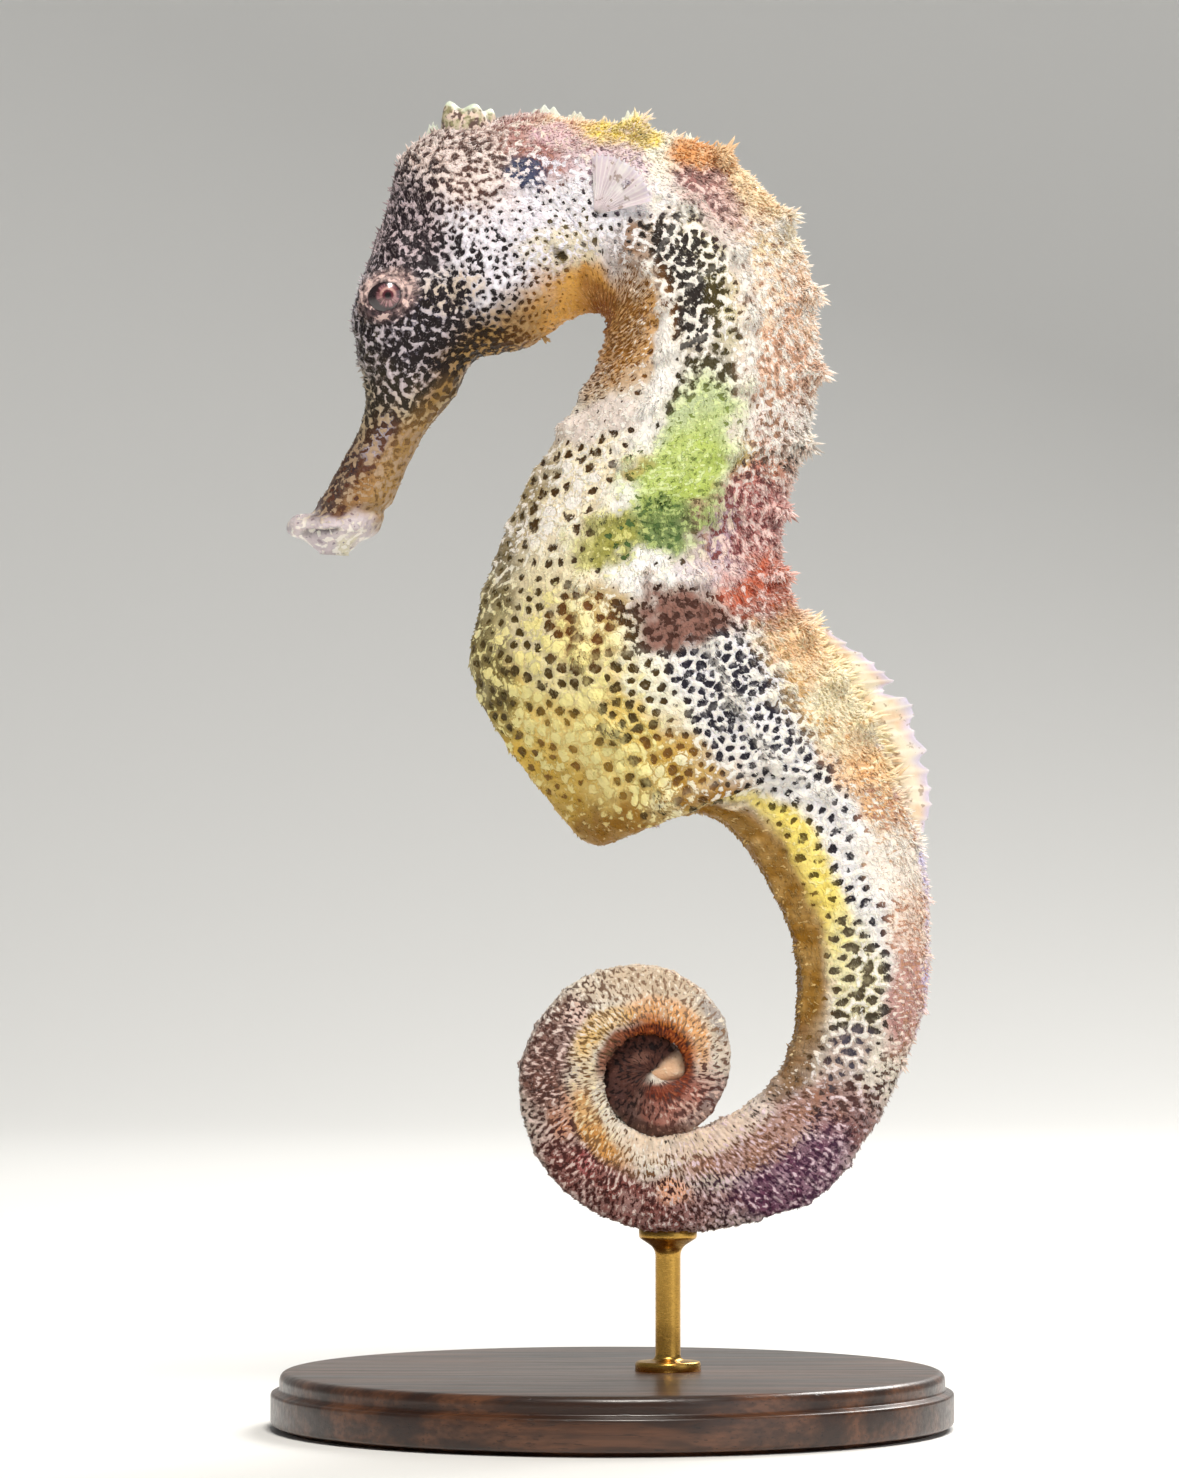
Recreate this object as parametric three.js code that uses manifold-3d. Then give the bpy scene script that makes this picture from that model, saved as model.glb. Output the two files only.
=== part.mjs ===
/**
 * Seahorse: a still, life-size model of an adult female on a plain display stand.
 *
 * Millimetres, +Z up. The animal looks towards -X and its left side faces -Y. The origin is the middle of
 * the stand's underside. The body is one sweep of flattened, ridged sections from the mouth to the tip of
 * the curled tail. Thin cuts between its bony rings part it into named lengths.
 */
import * as THREE from "three";
import { mergeVertices } from "three/addons/utils/BufferGeometryUtils.js";
import Module from "manifold-3d";

const wasm = await Module();
wasm.setup();

// ---- driving dimensions ----

const CUT = 0.3; // width of the cut between two lengths, and the gap round anything set into the body
const CUT_MARGIN = 0.5; // how far a cut reaches past the section it parts
const TRUNK_RINGS = 11;
const TAIL_RINGS = 36;
const TAIL_RING_RATIO = 0.966; // each tail ring is this share as long as the one before it
const BACKBONE = 0.4; // the rings are spaced along a line this share of the half depth above the middle
const HEAD_STEP = 1.7; // distance between sections ahead of the first ring

const COIL_X = 3.2; // middle of the tail's coil
const COIL_Z = 28.3;
const COIL_RADIUS = 8.9; // from there to the middle of the tail at the coil's lowest point
const COIL_TIGHTENING = 0.84; // the radius shrinks by this exponent in each turn
const COIL_QUICKENING = 0.18; // and by this much more the further in it goes
const COIL_HALF_DEPTHS = [3.85, 3.45, 2.8, 1.8, 1.7, 1.25, 0.95, 0.8]; // at each quarter turn

const EYE = { x: -17.6, y: 3.1, z: 89.3, radius: 2.05 };
const CORONET = { x: -11.2, z: 102.4, length: 5.0, width: 4.2, height: 1.9, lobes: 5 };
const DORSAL_FIN = { firstRing: 8.2, lastRing: 12.3, rays: 17, height: 3.4, thickness: 0.55 };
const PECTORAL_FIN = { x: -2.6, y: 4.7, z: 97.4, length: 5.2, spread: 84, rays: 15, flare: 20, thickness: 0.55 };
const ANAL_FIN = { x: 3.2, z: 49.6, length: 2.2, width: 1.6, thickness: 0.55 };
const CHEEK_SPINE = { x: -5.3, y: 1.5, z: 88.4, length: 3.4, radius: 0.8 };

const BASE = { radius: 27, height: 4.6, bevel: 1.0 };
const ROD = { x: 4.4, radius: 1.0, socketDepth: 3.0, collarRadius: 2.6, collarHeight: 0.9, cupRadius: 2.3 };

// ---- cross-sections ----

/**
 * Corners of half a section, from the dorsal middle down to the ventral one, as [across, up] shares of the
 * half width and half depth. `spines` are the heights of the ring spines at the five corners, as shares of
 * the half depth. The panels between corners swell outwards by `bulge` of their length.
 */
function section(corners, spines, bulge) {
  return [...corners.flat(), ...spines, bulge];
}

const NO_SPINES = [0, 0, 0, 0, 0];
const SECTIONS = {
  snout: section([[0, 1], [0.64, 0.78], [1, 0], [0.64, -0.78], [0, -1]], NO_SPINES, 0.11),
  face: section([[0, 0.97], [0.74, 0.84], [1, 0.3], [0.68, -0.6], [0, -1]], NO_SPINES, 0.08),
  head: section([[0, 1], [0.56, 0.86], [0.92, 0.2], [0.92, -0.42], [0, -1]], NO_SPINES, 0.08),
  neck: section([[0, 0.97], [0.46, 0.96], [1, 0.25], [0.84, -0.5], [0, -1]], [0, 0.1, 0.05, 0.03, 0], 0.07),
  trunk: section([[0, 0.94], [0.4, 0.98], [1, 0.3], [0.8, -0.5], [0, -1]], [0, 0.09, 0.06, 0.05, 0.03], 0.05),
  tail: section([[0, 0.9], [0.74, 0.96], [0.95, 0], [0.74, -0.92], [0, -0.95]], [0, 0.07, 0, 0.05, 0], 0.04),
};
const CORNERS = 5;
const PANEL_STEPS = [2, 3, 2, 2]; // mesh steps on each panel of the half section

// ---- the body's rows: where the dorsal and ventral edges lie, and how wide the body is there ----

// name, dorsal edge x, z, ventral edge x, z, half width, section
const BODY_ROWS = [
  ["mouth", -23.2, 69.4, -20.7, 69.2, 1.2, "snout"],
  ["lips", -25.4, 71.1, -18.5, 70.7, 3.0, "snout"],
  ["lip_root", -23.5, 73.1, -17.3, 72.9, 2.8, "snout"],
  ["snout_middle", -21.5, 76.4, -15.8, 76.3, 2.6, "snout"],
  ["snout_upper", -20.1, 79.2, -14.1, 79.3, 2.7, "snout"],
  ["snout_root", -19.7, 81.9, -12.3, 81.3, 3.3, "face"],
  ["cheek", -20.5, 85.2, -10.7, 84.0, 4.3, "face"],
  ["eye", -20.5, 89.2, -8.8, 84.7, 5.0, "face"],
  ["brow", -19.6, 92.5, -6.6, 85.1, 5.5, "face"],
  ["forehead", -17.9, 96.7, -4.8, 86.2, 5.6, "head"],
  ["crown_front", -16.7, 100.8, -3.1, 87.3, 5.5, "head"],
  ["crown", -13.6, 102.9, -1.9, 87.7, 5.3, "head"],
  ["crown_back", -10.4, 103.4, -1.2, 87.7, 5.2, "head"],
  ["nape", -6.5, 104.0, -0.9, 87.7, 5.0, "head"],
  ["gill", -1.7, 103.5, -0.7, 87.5, 4.9, "neck"],
  ["neck_front", 3.0, 102.7, -0.6, 87.2, 5.0, "neck"],
  ["neck_top", 8.0, 101.1, -0.7, 86.6, 5.2, "neck"],
  ["neck_bend", 12.4, 97.6, -1.0, 85.6, 5.5, "neck"],
  ["neck_back", 15.1, 93.5, -1.6, 83.9, 5.8, "trunk"],
  ["shoulder", 16.2, 88.7, -2.9, 81.4, 6.1, "trunk"],
  ["chest_upper", 16.5, 83.6, -4.3, 78.9, 6.4, "trunk"],
  ["chest", 15.7, 78.1, -6.5, 75.7, 6.7, "trunk"],
  ["chest_lower", 14.0, 73.4, -8.3, 72.2, 7.0, "trunk"],
  ["waist", 13.5, 69.0, -10.0, 68.2, 7.3, "trunk"],
  ["belly_upper", 14.4, 65.8, -11.2, 64.2, 7.6, "trunk"],
  ["belly", 15.9, 63.2, -11.7, 60.3, 7.7, "trunk"],
  ["belly_lower", 17.4, 61.0, -10.4, 56.4, 7.6, "trunk"],
  ["loin", 18.7, 59.0, -7.8, 52.6, 7.2, "trunk"],
  ["rump", 19.8, 57.2, -4.9, 48.8, 6.8, "trunk"],
  ["keel_end", 20.6, 55.6, -2.3, 46.15, 6.35, "trunk"],
  ["keel_round", 21.0, 54.7, -0.2, 46.05, 6.1, "trunk"],
  ["anal", 21.4, 53.8, 1.8, 47.6, 5.9, "trunk"],
  ["tail_root", 22.2, 51.6, 5.0, 48.6, 5.6, "tail"],
  ["tail_root_lower", 23.4, 49.0, 7.8, 48.0, 5.4, "tail"],
  ["tail_1", 24.6, 46.2, 9.8, 46.2, 5.2, "tail"],
  ["tail_2", 25.2, 42.6, 12.0, 42.8, 4.9, "tail"],
  ["tail_3", 25.2, 38.2, 13.9, 38.6, 4.7, "tail"],
  ["tail_4", 25.0, 33.8, 14.3, 34.0, 4.5, "tail"],
  ["tail_5", 23.3, 29.0, 13.7, 30.0, 4.2, "tail"],
  ["tail_6", 20.6, 23.4, 11.9, 27.1, 4.0, "tail"],
  ["tail_7", 15.4, 17.7, 8.3, 24.5, 3.8, "tail"],
].map(([name, dorsalX, dorsalZ, ventralX, ventralZ, halfWidth, kind]) => ({
  name,
  numbers: [dorsalX, dorsalZ, ventralX, ventralZ, halfWidth, ...SECTIONS[kind]],
}));

/** The row at one place of the coil, `turns` from its lowest point. */
function coilRow(turns) {
  const quarter = Math.min(4 * turns, COIL_HALF_DEPTHS.length - 1);
  const depthIndex = Math.floor(quarter);
  const nextDepth = COIL_HALF_DEPTHS[Math.min(depthIndex + 1, COIL_HALF_DEPTHS.length - 1)];
  const halfDepth = THREE.MathUtils.lerp(COIL_HALF_DEPTHS[depthIndex], nextDepth, quarter - depthIndex);
  const radius = COIL_RADIUS * Math.exp(-turns * (COIL_TIGHTENING + COIL_QUICKENING * turns));
  const angle = -Math.PI / 2 - 2 * Math.PI * turns;
  const outward = [Math.cos(angle), Math.sin(angle)];
  return {
    name: `coil_${turns}`,
    numbers: [
      COIL_X + (radius + halfDepth) * outward[0],
      COIL_Z + (radius + halfDepth) * outward[1],
      COIL_X + (radius - halfDepth) * outward[0],
      COIL_Z + (radius - halfDepth) * outward[1],
      halfDepth * 0.92,
      ...SECTIONS.tail,
    ],
  };
}

const EIGHTH_TURNS = 2 * COIL_HALF_DEPTHS.length - 1;
const ROWS = [...BODY_ROWS, ...Array.from({ length: EIGHTH_TURNS }, (_, k) => coilRow(k / 8))];

/** The numbers of the body between its rows, by a Catmull-Rom spline through each of them. */
function rowNumbers(u) {
  const last = ROWS.length - 1;
  const i = Math.min(Math.floor(u), last - 1);
  const t = u - i;
  const [a, b, c, d] = [i - 1, i, i + 1, i + 2].map((k) => ROWS[THREE.MathUtils.clamp(k, 0, last)].numbers);
  return b.map((from, k) => {
    const leave = (c[k] - a[k]) / 2;
    const arrive = (d[k] - from) / 2;
    const rise = c[k] - from;
    return from + t * (leave + t * (3 * rise - 2 * leave - arrive + t * (leave + arrive - 2 * rise)));
  });
}

// ---- places along the body ----

/** Middle, directions and sizes of the section at the row position `u`. */
function sectionFrame(u) {
  const [dorsalX, dorsalZ, ventralX, ventralZ, halfWidth, ...shape] = rowNumbers(u);
  const dorsal = new THREE.Vector3(dorsalX, 0, dorsalZ);
  const ventral = new THREE.Vector3(ventralX, 0, ventralZ);
  const up = dorsal.clone().sub(ventral);
  const halfDepth = up.length() / 2;
  up.normalize();
  return {
    middle: dorsal.clone().add(ventral).multiplyScalar(0.5),
    up,
    across: new THREE.Vector3(0, 1, 0),
    along: new THREE.Vector3(0, 1, 0).cross(up),
    halfDepth,
    halfWidth,
    shape,
  };
}

const BACKBONE_STEPS = 12; // between two rows
const backboneLengths = [0];
for (let k = 1, before = backbonePoint(0); k <= (ROWS.length - 1) * BACKBONE_STEPS; k++) {
  const here = backbonePoint(k / BACKBONE_STEPS);
  backboneLengths.push(backboneLengths[k - 1] + here.distanceTo(before));
  before = here;
}

function backbonePoint(u) {
  const frame = sectionFrame(u);
  return frame.middle.addScaledVector(frame.up, BACKBONE * frame.halfDepth);
}

/** Distance along the backbone from the mouth to a named row. */
function placeOf(name) {
  return backboneLengths[ROWS.findIndex((row) => row.name === name) * BACKBONE_STEPS];
}

/** Row position of the place `distance` along the backbone. */
function positionAt(distance) {
  const last = backboneLengths.length - 1;
  const after = backboneLengths.findIndex((length) => length > distance);
  if (after < 0) return last / BACKBONE_STEPS;
  const [low, high] = [backboneLengths[after - 1], backboneLengths[after]];
  return (after - 1 + (distance - low) / (high - low)) / BACKBONE_STEPS;
}

const GILL = placeOf("gill");
const TAIL_START = placeOf("anal");
const BODY_END = backboneLengths.at(-1);
const TRUNK_PITCH = (TAIL_START - GILL) / TRUNK_RINGS;
const FIRST_TAIL_PITCH = ((BODY_END - TAIL_START) * (1 - TAIL_RING_RATIO)) / (1 - TAIL_RING_RATIO ** TAIL_RINGS);

/** Distance along the backbone of ring `number`, counted from the gill opening on into the tail. */
function ringPlace(number) {
  const tailNumber = number - TRUNK_RINGS;
  if (tailNumber <= 0) return GILL + number * TRUNK_PITCH;
  return TAIL_START + (FIRST_TAIL_PITCH * (1 - TAIL_RING_RATIO ** tailNumber)) / (1 - TAIL_RING_RATIO);
}

/** Every section of the mesh, as { place, peak }: `peak` is 1 where a ring stands proud, and 0 between. */
function bodySections() {
  const found = [];
  const headSteps = Math.round(GILL / HEAD_STEP);
  for (let k = 0; k < headSteps; k++) found.push({ place: (GILL * k) / headSteps, peak: 0 });
  found.push({ place: placeOf("snout_root"), peak: 0 });
  for (let ring = 0; ring < TRUNK_RINGS; ring++) {
    found.push({ place: ringPlace(ring), peak: 0 });
    found.push({ place: ringPlace(ring + 0.3), peak: 0.1 });
    found.push({ place: ringPlace(ring + 0.5), peak: 1 });
    found.push({ place: ringPlace(ring + 0.7), peak: 0.1 });
  }
  for (let ring = TRUNK_RINGS; ring < TRUNK_RINGS + TAIL_RINGS; ring++) {
    found.push({ place: ringPlace(ring), peak: 0 });
    found.push({ place: ringPlace(ring + 0.5), peak: 1 });
  }
  found.push({ place: BODY_END, peak: 0 });
  return found.sort((one, other) => one.place - other.place);
}

const ALL_SECTIONS = bodySections();

// ---- solids ----

function toManifold(geometry) {
  const bare = geometry.clone();
  bare.deleteAttribute("normal");
  bare.deleteAttribute("uv");
  const merged = mergeVertices(bare, 1e-4);
  const mesh = new wasm.Mesh({
    numProp: 3,
    vertProperties: new Float32Array(merged.attributes.position.array),
    triVerts: new Uint32Array(merged.index.array),
  });
  return new wasm.Manifold(mesh);
}

function toGeometry(manifold) {
  const { vertProperties, triVerts } = manifold.getMesh();
  const geometry = new THREE.BufferGeometry();
  geometry.setAttribute("position", new THREE.BufferAttribute(new Float32Array(vertProperties), 3));
  geometry.setIndex(new THREE.BufferAttribute(new Uint32Array(triVerts), 1));
  return geometry;
}

/** One half of a section as [across, up] points in millimetres, from the dorsal middle to the ventral one. */
function halfOutline({ halfWidth, halfDepth, shape }, peak, grow) {
  const bulge = shape.at(-1);
  const corners = Array.from({ length: CORNERS }, (_, k) => {
    const corner = new THREE.Vector2(shape[2 * k] * halfWidth, shape[2 * k + 1] * halfDepth);
    const spine = shape[2 * CORNERS + k] * halfDepth * peak;
    return corner.addScaledVector(corner.clone().normalize(), spine + grow);
  });
  const points = [];
  PANEL_STEPS.forEach((steps, panel) => {
    const [from, to] = [corners[panel], corners[panel + 1]];
    const side = to.clone().sub(from);
    const outward = new THREE.Vector2(-side.y, side.x);
    for (let step = 0; step < steps; step++) {
      const t = step / steps;
      points.push(from.clone().addScaledVector(side, t).addScaledVector(outward, bulge * 4 * t * (1 - t)));
    }
  });
  return [...points, corners.at(-1)];
}

/** A whole section as points in space, round from the dorsal middle by the right side. */
function sectionPoints({ place, peak }, grow) {
  const frame = sectionFrame(positionAt(place));
  const right = halfOutline(frame, peak, grow);
  const left = right.slice(1, -1).reverse().map((point) => new THREE.Vector2(-point.x, point.y));
  return [...right, ...left].map((point) =>
    frame.middle.clone().addScaledVector(frame.across, point.x).addScaledVector(frame.up, point.y),
  );
}

/** The closed sweep of the body from one place to another, `grow` larger all round. */
function bodyBetween(from, to, grow = 0) {
  const inside = ALL_SECTIONS.filter(({ place }) => place > from - 1e-6 && place < to + 1e-6);
  const loops = inside.map((one) => sectionPoints(one, grow));
  const round = loops[0].length;
  const points = loops.flat();
  const triangles = [];
  for (let i = 0; i < loops.length - 1; i++) {
    for (let j = 0; j < round; j++) {
      const [a, b] = [i * round + j, i * round + ((j + 1) % round)];
      triangles.push(a, a + round, b, b, a + round, b + round);
    }
  }
  [0, loops.length - 1].forEach((end) => {
    const middle = points.length;
    points.push(loops[end].reduce((sum, point) => sum.add(point), new THREE.Vector3()).divideScalar(round));
    for (let j = 0; j < round; j++) {
      const edge = [end * round + j, end * round + ((j + 1) % round)];
      triangles.push(middle, ...(end === 0 ? edge : edge.reverse()));
    }
  });
  return toManifold(new THREE.BufferGeometry().setFromPoints(points).setIndex(triangles));
}

/** The thin plate that is cut away at one place, square to the body. */
function cutPlate(place) {
  const { middle, along, across, up, halfDepth, halfWidth } = sectionFrame(positionAt(place));
  const plate = new THREE.BoxGeometry(CUT, 2 * (halfWidth + CUT_MARGIN), 2 * (halfDepth + CUT_MARGIN));
  const matrix = new THREE.Matrix4().makeBasis(along, across, up).setPosition(middle);
  return toManifold(plate.applyMatrix4(matrix));
}

function bodyLength(from, to) {
  let solid = bodyBetween(from, to);
  if (from > 0) solid = solid.subtract(cutPlate(from));
  if (to < BODY_END) solid = solid.subtract(cutPlate(to));
  return solid;
}

/** What is left of a solid set into the body, with the gap round it. */
function clearOfBody(solid, from, to) {
  return solid.subtract(bodyBetween(from, to, CUT));
}

// ---- the head's own parts ----

function eyeball(side, grow) {
  const ball = new THREE.SphereGeometry(EYE.radius + grow, 16, 10);
  return toManifold(ball.translate(EYE.x, side * EYE.y, EYE.z));
}

/** The short downward spine behind each cheek. */
function cheekSpine(side) {
  const spine = new THREE.ConeGeometry(CHEEK_SPINE.radius, CHEEK_SPINE.length, 8).rotateX(-Math.PI / 2);
  return toManifold(spine.translate(CHEEK_SPINE.x, side * CHEEK_SPINE.y, CHEEK_SPINE.z - CHEEK_SPINE.length / 2));
}

function head() {
  let solid = bodyLength(placeOf("snout_root"), GILL);
  for (const side of [-1, 1]) {
    solid = solid.add(cheekSpine(side)).subtract(eyeball(side, CUT));
  }
  return solid;
}

/** A low crown: a domed plate with blunt lobes round its edge. */
function coronet() {
  const { x, z, length, width, height, lobes } = CORONET;
  const dome = new THREE.SphereGeometry(1, 12, 8).scale(length / 2, width / 2, height);
  let solid = toManifold(dome.translate(x, 0, z));
  for (let k = 0; k < lobes; k++) {
    const angle = (2 * Math.PI * (k + 0.5)) / lobes;
    const lobe = new THREE.CylinderGeometry(0.35, 0.75, height + 1, 6).rotateX(Math.PI / 2);
    lobe.rotateY(0.3 * Math.cos(angle)).rotateX(-0.3 * Math.sin(angle));
    lobe.translate(x + 0.34 * length * Math.cos(angle), 0.34 * width * Math.sin(angle), z + height / 2 - 0.2);
    solid = solid.add(toManifold(lobe));
  }
  return clearOfBody(solid, placeOf("eye"), ringPlace(2));
}

// ---- fins ----

/** A thin plate from an outline of [x, y] points, centred on its own plane. */
function finPlate(points, thickness) {
  const shape = new THREE.Shape(points.map(([x, y]) => new THREE.Vector2(x, y)));
  const plate = new THREE.ExtrudeGeometry(shape, { depth: thickness, bevelEnabled: false });
  return plate.translate(0, 0, -thickness / 2);
}

/** The folded fan on the back, its edge notched between the tips of the rays. */
function dorsalFin() {
  const { firstRing, lastRing, rays, height, thickness } = DORSAL_FIN;
  const foot = [];
  const edge = [];
  for (let k = 0; k <= 2 * rays; k++) {
    const share = k / (2 * rays);
    const frame = sectionFrame(positionAt(ringPlace(THREE.MathUtils.lerp(firstRing, lastRing, share))));
    const notch = k % 2 ? 0 : 0.35;
    const reach = frame.halfDepth + height * Math.sin(Math.PI * share) ** 0.5 - notch;
    foot.push(frame.middle.clone().addScaledVector(frame.up, frame.halfDepth - 1.5));
    edge.push(frame.middle.clone().addScaledVector(frame.up, reach));
  }
  const outline = [...foot, ...edge.reverse()].map((point) => [point.x, point.z]);
  const plate = finPlate(outline, thickness).rotateX(Math.PI / 2);
  return clearOfBody(toManifold(plate), ringPlace(7), ringPlace(15));
}

/** The small rounded fan behind each gill opening. */
function pectoralFin(side) {
  const { x, y, z, length, spread, rays, flare, thickness } = PECTORAL_FIN;
  const half = THREE.MathUtils.degToRad(spread / 2);
  const outline = [[-1, -0.8], [-1, 0.8]];
  for (let k = 0; k <= 2 * rays; k++) {
    const angle = THREE.MathUtils.lerp(half, -half, k / (2 * rays));
    const reach = length * (0.8 + 0.2 * Math.cos(angle)) - (k % 2 ? 0 : 0.2);
    outline.push([reach * Math.cos(angle), reach * Math.sin(angle)]);
  }
  const plate = finPlate(outline.reverse(), thickness).rotateX(Math.PI / 2);
  plate.rotateZ(side * THREE.MathUtils.degToRad(flare));
  return clearOfBody(toManifold(plate.translate(x, side * y, z)), placeOf("brow"), ringPlace(4));
}

function analFin() {
  const { x, z, length, width, thickness } = ANAL_FIN;
  const outline = [[-width / 2, 0], [-0.3 * width, -length], [0.3 * width, -length], [width / 2, 0]];
  const plate = finPlate(outline, thickness).rotateX(Math.PI / 2).translate(x, 0, z);
  return clearOfBody(toManifold(plate), ringPlace(9), ringPlace(14));
}

// ---- the display stand ----

function lathed(profile, segments) {
  const points = profile.map(([radius, height]) => new THREE.Vector2(radius, height));
  return new THREE.LatheGeometry(points, segments).rotateX(Math.PI / 2);
}

/** The round base, with a blind hole for the rod. */
function standBase() {
  const { radius, height, bevel } = BASE;
  const disc = lathed([[0, 0], [radius, 0], [radius, height - bevel], [radius - bevel, height], [0, height]], 48);
  const holeHeight = ROD.socketDepth + 1;
  const hole = new THREE.CylinderGeometry(ROD.radius + CUT, ROD.radius + CUT, holeHeight, 16).rotateX(Math.PI / 2);
  hole.translate(ROD.x, 0, height - ROD.socketDepth + holeHeight / 2);
  return toManifold(disc).subtract(toManifold(hole));
}

/** The rod, with a collar over its hole and a cup that takes the bend of the tail. */
function standRod() {
  const { x, radius, socketDepth, collarRadius, collarHeight, cupRadius } = ROD;
  const foot = BASE.height - socketDepth + CUT;
  const collar = BASE.height + CUT;
  const cup = COIL_Z - COIL_RADIUS - COIL_HALF_DEPTHS[0] - 0.6;
  const profile = [
    [0, foot],
    [radius, foot],
    [radius, collar],
    [collarRadius, collar],
    [collarRadius, collar + collarHeight / 2],
    [radius, collar + collarHeight],
    [radius, cup - 1.2],
    [cupRadius, cup + 0.6],
    [cupRadius, cup + 2.2],
    [0, cup + 2.2],
  ];
  const rod = toManifold(lathed(profile, 16).translate(x, 0, 0));
  return clearOfBody(rod, ringPlace(19), ringPlace(29));
}

// ---- assembly ----

const model = new THREE.Group();

function addPart(name, manifold, color, roughness, metalness = 0) {
  const material = new THREE.MeshStandardMaterial({ color, roughness, metalness });
  const mesh = new THREE.Mesh(toGeometry(manifold), material);
  mesh.name = name;
  model.add(mesh);
}

// name, last ring, colour
const TRUNK_LENGTHS = [
  ["neck", 3, "#c9a58a"],
  ["trunk_upper", 6, "#cfc08a"],
  ["trunk_middle", 9, "#d6cf9a"],
  ["trunk_lower", TRUNK_RINGS, "#dccb82"],
];
const TAIL_LENGTHS = [
  ["tail_base", 14, "#e0c07a"],
  ["tail_upper", 17, "#dfc9a4"],
  ["tail_middle", 21, "#d8b49c"],
  ["tail_lower", 25, "#8f6a70"],
  ["tail_bend", 28, "#7d5a62"],
  ["coil_bottom", 31, "#86636a"],
  ["coil_front", 34, "#8d6c6c"],
  ["coil_top", 37, "#c9a88c"],
  ["coil_back", 40, "#c98f62"],
  ["coil_inner", 43, "#7a4a38"],
  ["tail_tip", TRUNK_RINGS + TAIL_RINGS, "#e8cfa6"],
];

addPart("snout", bodyLength(0, placeOf("snout_root")), "#a07c50", 0.6);
addPart("head", head(), "#b7aca6", 0.6);
addPart("coronet", coronet(), "#cfc9a8", 0.6);
[["left", -1], ["right", 1]].forEach(([side, sign]) => {
  addPart(`eye_${side}`, eyeball(sign, 0), "#5a2c24", 0.15);
  addPart(`pectoral_fin_${side}`, pectoralFin(sign), "#d8c7cf", 0.4);
});
let firstRing = 0;
for (const [name, lastRing, color] of [...TRUNK_LENGTHS, ...TAIL_LENGTHS]) {
  addPart(name, bodyLength(ringPlace(firstRing), ringPlace(lastRing)), color, 0.6);
  firstRing = lastRing;
}
addPart("dorsal_fin", dorsalFin(), "#e6d3a2", 0.4);
addPart("anal_fin", analFin(), "#d9b36a", 0.4);
addPart("stand_base", standBase(), "#4a2f20", 0.45);
addPart("stand_rod", standRod(), "#b08d4a", 0.3, 1);

export default model;
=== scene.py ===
"""
Seahorse on a display stand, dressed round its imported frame.

One skin takes the place of all the flesh. It is swept through the same sections as the solids, a coat's
depth inside them, and carries the bony rings, ridges and eyelids as real relief. Places on the body are
told by ring (0 at the gill opening, 11 at the first tail ring, 47 at the tip, negative in the head) and by
height in the section (+1 at the back, -1 at the belly). The body's numbers are millimetres, as in the
solids, and become metres when a mesh is made.
"""
import itertools
import math

import bpy
import numpy as np
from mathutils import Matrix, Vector, kdtree
from mathutils.bvhtree import BVHTree


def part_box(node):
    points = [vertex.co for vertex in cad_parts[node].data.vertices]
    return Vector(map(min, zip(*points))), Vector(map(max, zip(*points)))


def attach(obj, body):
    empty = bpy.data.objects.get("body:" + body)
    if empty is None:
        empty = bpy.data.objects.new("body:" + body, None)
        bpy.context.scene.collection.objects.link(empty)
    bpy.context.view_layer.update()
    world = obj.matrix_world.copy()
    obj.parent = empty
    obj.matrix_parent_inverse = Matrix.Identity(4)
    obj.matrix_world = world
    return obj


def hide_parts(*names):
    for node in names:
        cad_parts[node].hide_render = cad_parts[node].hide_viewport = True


MM = 0.001
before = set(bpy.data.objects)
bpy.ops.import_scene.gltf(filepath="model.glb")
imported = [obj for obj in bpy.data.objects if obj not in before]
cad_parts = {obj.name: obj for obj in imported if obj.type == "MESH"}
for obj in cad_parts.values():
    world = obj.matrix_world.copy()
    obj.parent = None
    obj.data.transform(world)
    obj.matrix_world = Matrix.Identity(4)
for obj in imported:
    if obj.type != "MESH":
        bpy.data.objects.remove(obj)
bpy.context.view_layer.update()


def table(text):
    """Rows of a table written as text: words, and numbers where a word is one."""
    return [[float(word) if word[0] in "-.0123456789" else word for word in line.split()]
            for line in text.strip().splitlines()]


# ---- the body's sweep, as in the solids ----

TRUNK_RINGS = 11
TAIL_RINGS = 36
TAIL_RING_RATIO = 0.966  # each tail ring's length over that of the one before
BACKBONE = 0.4  # its height in the section
BACKBONE_STEPS = 12  # measuring steps from row to row
COIL_X = 3.2
COIL_Z = 28.3
COIL_RADIUS = 8.9
COIL_TIGHTENING = 0.84
COIL_QUICKENING = 0.18
COIL_HALF_DEPTHS = [3.85, 3.45, 2.8, 1.8, 1.7, 1.25, 0.95, 0.8]
COIL_DEPTHS_A_TURN = 4
COIL_ROWS_A_TURN = 8
COIL_WIDTH = 0.92  # over its depth

# Corners of half a section from back to belly, as [across, up] shares, and how far its panels swell.
SECTIONS = {
    "snout": [0, 1, 0.64, 0.78, 1, 0, 0.64, -0.78, 0, -1, 0.11],
    "face": [0, 0.97, 0.74, 0.84, 1, 0.3, 0.68, -0.6, 0, -1, 0.08],
    "head": [0, 1, 0.56, 0.86, 0.92, 0.2, 0.92, -0.42, 0, -1, 0.08],
    "neck": [0, 0.97, 0.46, 0.96, 1, 0.25, 0.84, -0.5, 0, -1, 0.07],
    "trunk": [0, 0.94, 0.4, 0.98, 1, 0.3, 0.8, -0.5, 0, -1, 0.05],
    "tail": [0, 0.9, 0.74, 0.96, 0.95, 0, 0.74, -0.92, 0, -0.95, 0.04],
}
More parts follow.
